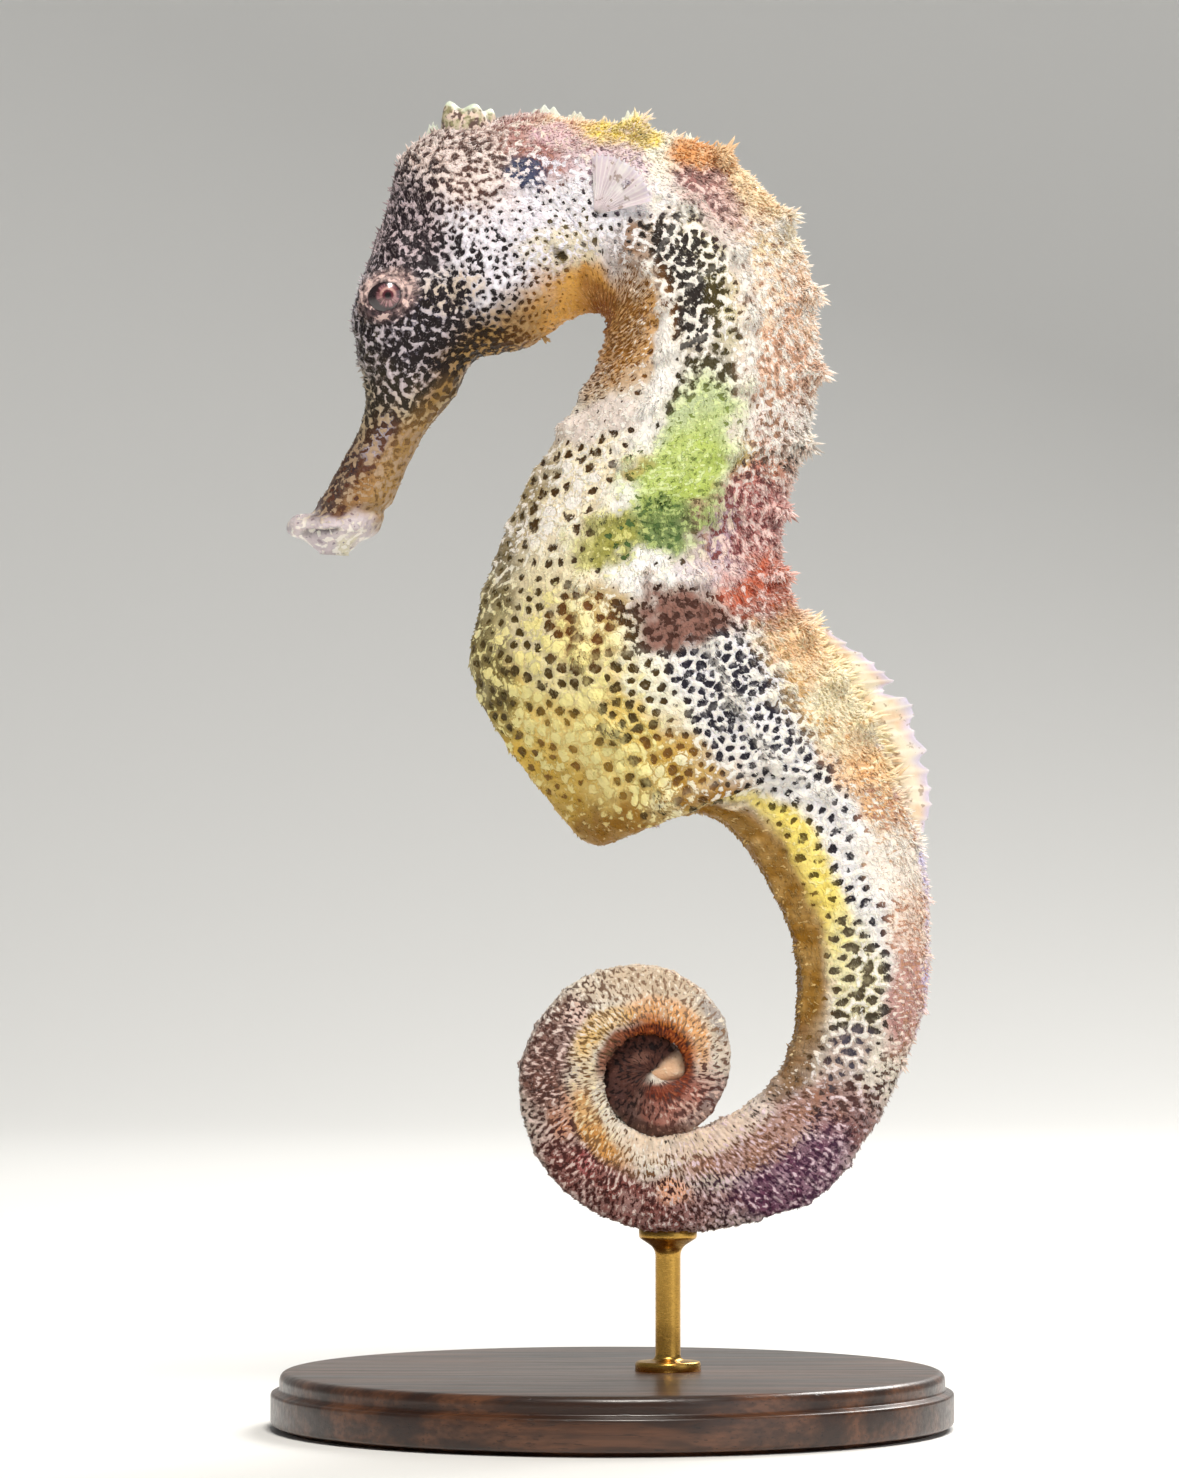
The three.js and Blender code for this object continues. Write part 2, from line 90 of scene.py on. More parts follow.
# Name, back edge x, z, belly edge x, z, half width, section.
BODY_ROWS = table("""
mouth -23.2 69.4 -20.7 69.2 1.2 snout
lips -25.4 71.1 -18.5 70.7 3 snout
lip_root -23.5 73.1 -17.3 72.9 2.8 snout
snout_middle -21.5 76.4 -15.8 76.3 2.6 snout
snout_upper -20.1 79.2 -14.1 79.3 2.7 snout
snout_root -19.7 81.9 -12.3 81.3 3.3 face
cheek -20.5 85.2 -10.7 84 4.3 face
eye -20.5 89.2 -8.8 84.7 5 face
brow -19.6 92.5 -6.6 85.1 5.5 face
forehead -17.9 96.7 -4.8 86.2 5.6 head
crown_front -16.7 100.8 -3.1 87.3 5.5 head
crown -13.6 102.9 -1.9 87.7 5.3 head
crown_back -10.4 103.4 -1.2 87.7 5.2 head
nape -6.5 104 -.9 87.7 5 head
gill -1.7 103.5 -.7 87.5 4.9 neck
neck_front 3 102.7 -.6 87.2 5 neck
neck_top 8 101.1 -.7 86.6 5.2 neck
neck_bend 12.4 97.6 -1 85.6 5.5 neck
neck_back 15.1 93.5 -1.6 83.9 5.8 trunk
shoulder 16.2 88.7 -2.9 81.4 6.1 trunk
chest_upper 16.5 83.6 -4.3 78.9 6.4 trunk
chest 15.7 78.1 -6.5 75.7 6.7 trunk
chest_lower 14 73.4 -8.3 72.2 7 trunk
waist 13.5 69 -10 68.2 7.3 trunk
belly_upper 14.4 65.8 -11.2 64.2 7.6 trunk
belly 15.9 63.2 -11.7 60.3 7.7 trunk
belly_lower 17.4 61 -10.4 56.4 7.6 trunk
loin 18.7 59 -7.8 52.6 7.2 trunk
rump 19.8 57.2 -4.9 48.8 6.8 trunk
keel_end 20.6 55.6 -2.3 46.15 6.35 trunk
keel_round 21 54.7 -.2 46.05 6.1 trunk
anal 21.4 53.8 1.8 47.6 5.9 trunk
tail_root 22.2 51.6 5 48.6 5.6 tail
tail_root_lower 23.4 49 7.8 48 5.4 tail
tail_1 24.6 46.2 9.8 46.2 5.2 tail
tail_2 25.2 42.6 12 42.8 4.9 tail
tail_3 25.2 38.2 13.9 38.6 4.7 tail
tail_4 25 33.8 14.3 34 4.5 tail
tail_5 23.3 29 13.7 30 4.2 tail
tail_6 20.6 23.4 11.9 27.1 4 tail
tail_7 15.4 17.7 8.3 24.5 3.8 tail
""")


def coil_row(turns):
    """The row at one place of the tail's coil, `turns` from its lowest point."""
    at_depth = COIL_DEPTHS_A_TURN * turns
    half_depth = float(np.interp(at_depth, range(len(COIL_HALF_DEPTHS)), COIL_HALF_DEPTHS))
    radius = COIL_RADIUS * math.exp(-turns * (COIL_TIGHTENING + COIL_QUICKENING * turns))
    angle = -math.pi / 2 - 2 * math.pi * turns
    edges = [radius + half_depth, radius - half_depth]
    places = [value for edge in edges
              for value in (COIL_X + edge * math.cos(angle), COIL_Z + edge * math.sin(angle))]
    return [*places, half_depth * COIL_WIDTH, *SECTIONS["tail"]]


COIL_ROWS = [coil_row(k / COIL_ROWS_A_TURN) for k in range(2 * len(COIL_HALF_DEPTHS) - 1)]
ROWS = np.array([[*row[1:6], *SECTIONS[row[6]]] for row in BODY_ROWS] + COIL_ROWS)


def row_numbers(u):
    """The numbers of the body between its rows, by a Catmull-Rom spline through each of them."""
    last = len(ROWS) - 1
    i = np.minimum(np.floor(u).astype(int), last - 1)
    t = (u - i)[:, None]
    a, b, c, d = (ROWS[np.clip(i + k, 0, last)] for k in (-1, 0, 1, 2))
    leave, arrive, rise = (c - a) / 2, (d - b) / 2, c - b
    return b + t * (leave + t * (3 * rise - 2 * leave - arrive + t * (leave + arrive - 2 * rise)))


def section_frames(u):
    """Middle, up direction, half depth, half width and shape of the sections at row positions `u`."""
    numbers = row_numbers(np.atleast_1d(np.asarray(u, float)))
    back, belly = numbers[:, 0:2], numbers[:, 2:4]
    up = (back - belly) / 2
    half_depth = np.linalg.norm(up, axis=1)
    return (back + belly) / 2, up / half_depth[:, None], half_depth, numbers[:, 4], numbers[:, 5:]


def backbone_lengths():
    """Length of the backbone from the mouth to each measuring step."""
    steps = np.arange((len(ROWS) - 1) * BACKBONE_STEPS + 1)
    middle, up, half_depth, _, _ = section_frames(steps / BACKBONE_STEPS)
    line = middle + up * (BACKBONE * half_depth)[:, None]
    return np.concatenate([[0], np.cumsum(np.linalg.norm(np.diff(line, axis=0), axis=1))])


LENGTHS = backbone_lengths()
ROW_NAMES = [row[0] for row in BODY_ROWS]
GILL = LENGTHS[ROW_NAMES.index("gill") * BACKBONE_STEPS]
TAIL_START = LENGTHS[ROW_NAMES.index("anal") * BACKBONE_STEPS]
BODY_END = LENGTHS[-1]
TRUNK_PITCH = (TAIL_START - GILL) / TRUNK_RINGS
TAIL_PITCH = (BODY_END - TAIL_START) * (1 - TAIL_RING_RATIO) / (1 - TAIL_RING_RATIO**TAIL_RINGS)


def frames_at(place):
    """The section frames at distances along the backbone."""
    return section_frames(np.interp(place, LENGTHS, np.arange(len(LENGTHS)) / BACKBONE_STEPS))


def ring_place(ring):
    """Distance along the backbone of a ring."""
    tail = np.maximum(np.asarray(ring, float) - TRUNK_RINGS, 0)
    in_tail = TAIL_START + TAIL_PITCH * (1 - TAIL_RING_RATIO**tail) / (1 - TAIL_RING_RATIO)
    return np.where(tail > 0, in_tail, GILL + np.asarray(ring) * TRUNK_PITCH)


def ring_at(place):
    """Ring number of a distance along the backbone."""
    share = (place - TAIL_START) * (1 - TAIL_RING_RATIO) / TAIL_PITCH
    share = np.clip(share, 0, 1 - TAIL_RING_RATIO**TAIL_RINGS)
    in_tail = TRUNK_RINGS + np.log(1 - share) / math.log(TAIL_RING_RATIO)
    return np.where(place > TAIL_START, in_tail, (place - GILL) / TRUNK_PITCH)


# ---- helpers ----


def smoothstep(low, high, x):
    """0 below `low`, 1 above `high` and smooth between them; it falls where `low` is the greater."""
    t = np.clip((x - low) / (high - low), 0, 1)
    return t * t * (3 - 2 * t)


def hump(distance, width):
    """1 at distance 0 and close to 0 from twice the width on."""
    return np.exp(-((distance / width) ** 2))


def unit(vectors):
    """The vectors, each brought to length 1."""
    return vectors / np.maximum(np.linalg.norm(vectors, axis=-1, keepdims=True), 1e-9)


NOISE_CELLS = 48
NOISE_TABLE = np.random.default_rng(5).uniform(-1, 1, (NOISE_CELLS,) * 3)


def noise(points, size, shift=0.0):
    """Smooth noise from -1 to 1 that changes over about `size` millimetres."""
    q = points / size + shift
    cell = np.floor(q).astype(int)
    t = q - cell
    t = t * t * (3 - 2 * t)
    total = np.zeros(points.shape[:-1])
    for corner in itertools.product((0, 1), repeat=3):
        weight = np.prod(np.where(corner, t, 1 - t), axis=-1)
        x, y, z = np.moveaxis((cell + corner) % NOISE_CELLS, -1, 0)
        total += weight * NOISE_TABLE[x, y, z]
    return total


def rough(points, size, octaves=3):
    """Noise with finer noise on it."""
    return sum(noise(points, size / 2**k, 7.3 * k) / 2**k for k in range(octaves))


def linear(code):
    """Linear colour of a hex code."""
    values = [int(code[i : i + 2], 16) / 255 for i in (1, 3, 5)]
    return np.array([v / 12.92 if v <= 0.04045 else ((v + 0.055) / 1.055) ** 2.4 for v in values])


def mesh_piece(name, points, faces, uvs=None, fields=None, smooth=True):
    """An object from millimetre points and faces, an array of corners or a list of such arrays."""
    groups = faces if isinstance(faces, list) else [faces]
    corners = np.concatenate([group.ravel() for group in groups]).astype(np.int32)
    sizes = np.concatenate([np.full(len(group), group.shape[1]) for group in groups]).astype(np.int32)
    mesh = bpy.data.meshes.new(name)
    mesh.vertices.add(len(points))
    mesh.vertices.foreach_set("co", (np.asarray(points, np.float32) * MM).ravel())
    mesh.loops.add(len(corners))
    mesh.loops.foreach_set("vertex_index", corners)
    mesh.polygons.add(len(sizes))
    mesh.polygons.foreach_set("loop_start", np.concatenate([[0], np.cumsum(sizes)[:-1]]).astype(np.int32))
    mesh.polygons.foreach_set("use_smooth", np.full(len(sizes), smooth))
    mesh.update(calc_edges=True)
    for uv_name, values in (uvs or {}).items():
        mesh.uv_layers.new(name=uv_name).data.foreach_set("uv", np.asarray(values, np.float32).ravel())
    for field, values in (fields or {}).items():
        values = np.asarray(values, np.float32)
        kind = "FLOAT" if values.ndim == 1 else "FLOAT_VECTOR"
        slot = "value" if values.ndim == 1 else "vector"
        mesh.attributes.new(field, kind, "POINT").data.foreach_set(slot, values.ravel())
    mesh.validate()
    piece = bpy.data.objects.new(name, mesh)
    bpy.context.scene.collection.objects.link(piece)
    return piece


def dress(piece, material, slot, *nodes):
    """Give a piece its material, and let it take the place of CAD nodes. The slot is not used."""
    piece.data.materials.append(material)
    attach(piece, "root")
    if nodes:
        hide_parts(*nodes)


def grid_faces(rows, columns, closed=False):
    """Quads of a grid of points numbered row by row; `closed` joins the last column to the first."""
    i, j = np.meshgrid(np.arange(rows - 1), np.arange(columns if closed else columns - 1), indexing="ij")
    i, j = i.ravel(), j.ravel()
    beside = (j + 1) % columns
    row, next_row = i * columns, (i + 1) * columns
    return np.stack([row + j, row + beside, next_row + beside, next_row + j], 1)


# ---- the skin's base shape ----

STATION = 0.19  # distance between the skin's loops
PANEL_STEPS = [24, 40, 48, 32]
HALF_ROUND = sum(PANEL_STEPS)
ROUND = 2 * HALF_ROUND
SUPERIOR, LATERAL, INFERIOR = np.cumsum(PANEL_STEPS)[:3]  # loop places of the ridges on the right side
CORNER_ROUNDING = 14  # smoothing passes that round the section's corners
COAT_DEPTH = 0.28
COIL_COAT_DEPTH = 0.3  # share of that on the coil, where the coat is shortest
COIL_FILL = 0.8  # how much deeper the innermost turn is towards the coil's middle
COIL_FILLED = (36.2, 38.6)  # rings over which that comes on
COIL_CLOSING = 0.31  # how much nearer it lies to the turn round it
TIP_CLOSING = 0.34  # and how much nearer still at the tip
TIP_CLOSED = (45.3, 47)  # rings over which that comes on
MOUTH_LOOPS = 14
MOUTH_DEPTH = 2.4
MOUTH_NARROWING = 0.8  # how much the closed mouth narrows on its way in
LIP_POUT = 0.5  # how far the lips round out before it
TIP_LOOPS = 6


def loop_outlines(half_width, half_depth, shape):
    """Whole sections as [across, up] points, from the back round by the right side."""
    corners = shape[:, :10].reshape(-1, 5, 2) * np.stack([half_width, half_depth], 1)[:, None]
    points = []
    for panel, steps in enumerate(PANEL_STEPS):
        side = corners[:, panel + 1] - corners[:, panel]
        outward = np.stack([-side[:, 1], side[:, 0]], 1) * shape[:, 10:11]
        for t in np.arange(steps) / steps:
            points.append(corners[:, panel] + side * t + outward * (4 * t * (1 - t)))
    right = np.stack([*points, corners[:, 4]], 1)
    left = right[:, -2:0:-1] * [-1, 1]
    loops = np.concatenate([right, left], 1)
    for _ in range(CORNER_ROUNDING):
        loops = (np.roll(loops, 1, 1) + 2 * loops + np.roll(loops, -1, 1)) / 4
    return loops


class Body:
    """The loops of the skin: place, ring, height share and position of every point."""

    def __init__(self):
        count = int(BODY_END / STATION)
        place = np.linspace(0, BODY_END, count)
        inner = np.linspace(1, 1 / MOUTH_LOOPS, MOUTH_LOOPS)
        tip = np.linspace(1 / TIP_LOOPS, 0.98, TIP_LOOPS)
        middle, up, half_depth, half_width, shape = frames_at(place)
        source = np.clip(np.arange(count + MOUTH_LOOPS + TIP_LOOPS) - MOUTH_LOOPS, 0, count - 1)
        scale = np.concatenate([1 - MOUTH_NARROWING * inner**1.5, np.ones(count), np.sqrt(1 - tip**2)])
        ahead = np.concatenate([
            MOUTH_DEPTH * inner**2 - LIP_POUT * np.sin(math.pi * np.minimum(1.6 * inner, 1)),
            np.zeros(count),
            half_depth[-1] * tip,
        ])
        along = np.stack([up[:, 1], -up[:, 0]], 1)
        outline = loop_outlines(half_width, half_depth, shape)[source] * scale[:, None, None]
        coiled = smoothstep(*COIL_FILLED, ring_at(place))[source, None]
        closing = COIL_CLOSING + TIP_CLOSING * smoothstep(*TIP_CLOSED, ring_at(place))[source, None]
        swell = np.where(outline[..., 1] < 0, COIL_FILL, closing / half_depth[source, None])
        outline[..., 1] *= 1 + coiled * swell
        centre = middle[source] + along[source] * ahead[:, None]
        self.base = np.empty((*outline.shape[:2], 3))
        self.base[..., 0] = centre[:, None, 0] + up[source, None, 0] * outline[..., 1]
        self.base[..., 1] = outline[..., 0]
        self.base[..., 2] = centre[:, None, 1] + up[source, None, 1] * outline[..., 1]
        self.place = place[source] - np.concatenate(
            [inner * MOUTH_DEPTH, np.zeros(count), -tip * half_depth[-1]])
        self.ring = np.repeat(ring_at(self.place)[:, None], ROUND, 1)
        self.height = outline[..., 1] / (half_depth[source] * scale)[:, None]
        self.half_depth = half_depth[source][:, None]
        steps = np.linalg.norm(np.diff(self.base, axis=1, append=self.base[:, :1]), axis=2)
        round_right = np.cumsum(steps[:, :HALF_ROUND], 1)
        self.girth = np.zeros(outline.shape[:2])  # distance round from the back, negative on the left
        self.girth[:, 1 : HALF_ROUND + 1] = round_right
        self.girth[:, HALF_ROUND + 1 :] = -self.girth[:, HALF_ROUND - 1 : 0 : -1]

    def girth_at(self, heights):
        """Distance round from the back to a height in each loop."""
        half = slice(0, HALF_ROUND + 1)
        rounds = [np.interp(-height, -row, girth)
                  for height, row, girth in zip(heights, self.height[:, half], self.girth[:, half])]
        return np.array(rounds)[:, None]


def surface_directions(points):
    """Unit directions along the body, round it and out of it at every point of the loops."""
    along = unit(np.gradient(points, axis=0))
    round_ = unit(np.roll(points, -1, 1) - np.roll(points, 1, 1))
    return along, round_, unit(np.cross(along, round_))


# ---- relief ----

# A ridge's height in the section at some rings, its own relief and its knobs' on the trunk, then on the tail.
RIDGES = [
    ([(0, 1.0)], 0.0, 0.10, 0.0, 0.0),
    ([(0, 0.93)], 0.22, 0.85, 0.12, 0.32),
    ([(0, 0.34), (2, 0.44), (7, 0.46), (9, 0.36), (11, 0.3)], 0.34, 0.45, 0.0, 0.08),
    ([(0, -0.3), (6, -0.31), (8, -0.34), (11, -0.42), (13, -0.9)], 0.24, 0.42, 0.10, 0.20),
    ([(0, -1.0)], 0.08, 0.20, 0.0, 0.0),
]
RIDGE_WIDTH = 0.5
KNOB_WIDTH = 0.75
CROSS_RIDGE_WIDTH = 0.11  # share of a ring
TRUNK_CROSS_RIDGE = 0.16
TAIL_CROSS_RIDGE = 0.07
FOLD_LENGTH, FOLD_HEIGHT = 0.74, 0.045  # from fold to fold of the tail, and how high they are
CREASE_LENGTH, CREASE_HEIGHT = 1.3, 0.10  # the same on the throat
COARSE_GRAIN, FINE_GRAIN = 0.12, 0.06  # how uneven the whole hide is
# Name, x, distance from the middle, z, height and width.
FACE_HUMPS = table("""
brow -17.4 4.4 93.3 .5 1.5
nose_ridge -20.3 0 87.4 .3 1.3
nostril -20.4 1.7 86.2 -.35 .4
cheek -12.6 4.6 86.6 .3 1.8
temple -9.6 4.8 97.8 .25 2
gill_opening -4.1 4.7 92.4 -.3 .5
upper_lip -24.7 .5 71.9 .5 1.3
lower_lip -22.9 .6 69.6 .25 .9
breast_knob -3.8 1 79.3 .6 1
""")
GILL_COVER = (-7.6, 91.6, 5.6)  # x, z and radius of the plate over the gills
GILL_COVER_HEIGHT = 0.35
GILL_GROOVE = 0.22  # depth of the groove round it
GILL_RIPPLES = 9
GILL_RIPPLE_HEIGHT = 0.03
MOUTH_LINE = ((-24.4, 70.6), (-21.6, 70.9))  # x, z of its ends
MOUTH_LINE_DEPTH = 0.35
LIP_RING = -7.72
LIP_EDGE = 0.14
LIP_GROOVE = 0.30  # depth of the groove behind the lips
LIP_ROUGHNESS = 0.28


def ridge_relief(body):
    """Lengthwise ridges, cross ridges at each bony ring, and a knob where they meet."""
    ring = body.ring
    peak = hump(ring - np.floor(ring) - 0.5, CROSS_RIDGE_WIDTH)
    trunk = smoothstep(-0.9, 0.4, ring) * (1 - smoothstep(11, 12.5, ring))
    size = np.clip(body.half_depth / 4.5, 0.12, 1)
    tail = smoothstep(11, 12.5, ring) * size
    flank = smoothstep(-0.75, -0.45, body.height)
    relief = peak * flank * (TRUNK_CROSS_RIDGE * trunk + TAIL_CROSS_RIDGE * tail)
    for course, trunk_ridge, trunk_knob, tail_ridge, tail_knob in RIDGES:
        at_rings, at_heights = np.array(course).T
        across = np.abs(body.girth) - body.girth_at(np.interp(ring[:, 0], at_rings, at_heights))
        relief += hump(across, RIDGE_WIDTH) * (trunk_ridge * trunk + tail_ridge * tail)
        relief += hump(across, KNOB_WIDTH) * peak * (trunk_knob * trunk + tail_knob * tail)
    return relief


def segment_distance(points, start, end):
    """Distance from points to a line between two [x, z] places, seen from the side."""
    start, end = np.array(start), np.array(end)
    away = points[..., [0, 2]] - start
    share = np.clip(away @ (end - start) / np.sum((end - start) ** 2), 0, 1)
    return np.linalg.norm(away - share[..., None] * (end - start), axis=-1)


def face_relief(body):
    """Brow, nostrils, cheeks, gill covers and lips."""
    points = body.base
    relief = np.zeros(points.shape[:2])
    folded = np.stack([points[..., 0], np.abs(points[..., 1]), points[..., 2]], -1)
    for _, x, y, z, height, width in FACE_HUMPS:
        away = np.sqrt(np.sum((folded - [x, y, z]) ** 2, axis=-1))
        relief += height * hump(away, width)
    x, z, radius = GILL_COVER
    away = np.hypot(points[..., 0] - x, points[..., 2] - z) / radius
    flank = smoothstep(1.5, 3.5, np.abs(points[..., 1])) * (body.ring < 1)
    relief += flank * (GILL_COVER_HEIGHT * np.clip(1 - away**2, 0, 1) - GILL_GROOVE * hump(away - 1, 0.07))
    relief += GILL_RIPPLE_HEIGHT * flank * np.cos(GILL_RIPPLES * math.pi * away) * (away < 1)
    behind_lips = body.ring - LIP_RING
    relief += LIP_EDGE * hump(behind_lips, 0.16) - LIP_GROOVE * hump(behind_lips - 0.39, 0.10)
    return relief + hump(behind_lips, 0.30) * LIP_ROUGHNESS * rough(points, 1.5, 2)


def mouth_line(body):
    """The line between the jaws on the side of the lips."""
    return hump(segment_distance(body.base, *MOUTH_LINE), 0.17) * (body.ring < -7.4)


def fine_relief(body):
    """Folds across the tail and the throat, and the unevenness of the whole hide."""
    size = np.clip(body.half_depth / 4.5, 0.2, 1)
    wander = 2.2 * noise(body.base, 2.5)
    folds = np.sin(2 * math.pi * body.place[:, None] / FOLD_LENGTH + wander)
    relief = FOLD_HEIGHT * folds * smoothstep(11.5, 14, body.ring) * size
    creases = np.sin(2 * math.pi * body.place[:, None] / CREASE_LENGTH + wander)
    relief += CREASE_HEIGHT * creases * smoothstep(-0.35, -0.8, body.height) * hump(body.ring - 1.8, 2.4)
    return relief + size * (COARSE_GRAIN * rough(body.base, 2.2) + FINE_GRAIN * rough(body.base, 0.7))


EYE_OPENING = 1.04  # where the lids' edge meets the ball, from the eye's axis
EYE_RIM = 2.3  # and where the rim round the lids lies
EYE_RIM_HEIGHT = 0.16
SOCKET_DEPTH = 0.45  # how far the skin lies inside the ball's surface behind the opening
LID_THICKNESS = 0.64
LID_WRINKLE = 0.08
LID_TILT = math.radians(26)
LID_REACH = 3.0
LID_FOLD = 0.38  # distance between the lids' wrinkles


def corners_of(node):
    """The two far corners of a CAD node's box."""
    return (np.array(corner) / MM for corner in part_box(node))


def eye_centre(node):
    """Middle of an eyeball in the CAD."""
    low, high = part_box(node)
    return (np.array(low) + np.array(high)) / 2 / MM


def eye_radius(node):
    """Radius of an eyeball in the CAD."""
    low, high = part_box(node)
    return (high[2] - low[2]) / 2 / MM


def eye_offset(points, centre):
    """Distance from the eye's axis, in an oval that runs up and back as the lids do."""
    x, z = points[..., 0] - centre[0], points[..., 2] - centre[2]
    long_way = (x * math.cos(LID_TILT) + z * math.sin(LID_TILT)) / 1.14
    short_way = (z * math.cos(LID_TILT) - x * math.sin(LID_TILT)) / 0.88
    return np.hypot(long_way, short_way)


def seat_eyes(points):
    """Draw the skin over each eyeball as lids, with wrinkles round them, and in behind the opening."""
    for node, side in (("eye_left", -1), ("eye_right", 1)):
        centre = eye_centre(node)
        offset = eye_offset(points, centre)
        near = (offset < LID_REACH) & (side * points[..., 1] > 1.2)
        away = points[near] - centre
        distance = np.linalg.norm(away, axis=1)
        at = offset[near]
        lid = LID_THICKNESS * smoothstep(EYE_OPENING - 0.2, EYE_OPENING + 0.1, at)
        lid += eye_radius(node) - SOCKET_DEPTH
        lid += LID_WRINKLE * lid_wrinkles(at) * smoothstep(EYE_OPENING, EYE_OPENING + 0.2, at)
        hold = smoothstep(2.7, 1.7, at)
        target = distance + (lid - distance) * hold + EYE_RIM_HEIGHT * hump(at - EYE_RIM, 0.28)
        points[near] = centre + away * (target / distance)[:, None]
    return points


def lid_wrinkles(offset):
    """The wrinkles round the eye, 1 on their tops and -1 between them."""
    return np.cos(2 * math.pi * (offset - EYE_OPENING - 0.1) / LID_FOLD)


def shape_skin(body, ridges, slit):
    """The skin's points, moved in by the coat's depth and out by the relief, with the eyes seated."""
    relief = ridges + face_relief(body) - MOUTH_LINE_DEPTH * slit + fine_relief(body)
    relief[:MOUTH_LOOPS] *= 0.3
    inset = COAT_DEPTH * np.clip(body.half_depth / 3, 0.15, 1)
    inset = inset * (1 - (1 - COIL_COAT_DEPTH) * smoothstep(17, 22, body.ring))
    outward = surface_directions(body.base)[2]
    return seat_eyes(body.base + outward * (relief - inset)[..., None])


body = Body()
ridges = ridge_relief(body)
slit = mouth_line(body)
skin_points = shape_skin(body, ridges, slit)
along, round_, outward = surface_directions(skin_points)
upward = round_ * np.where(np.arange(ROUND) < HALF_ROUND, -1, 1)[:, None]


# ---- markings ----

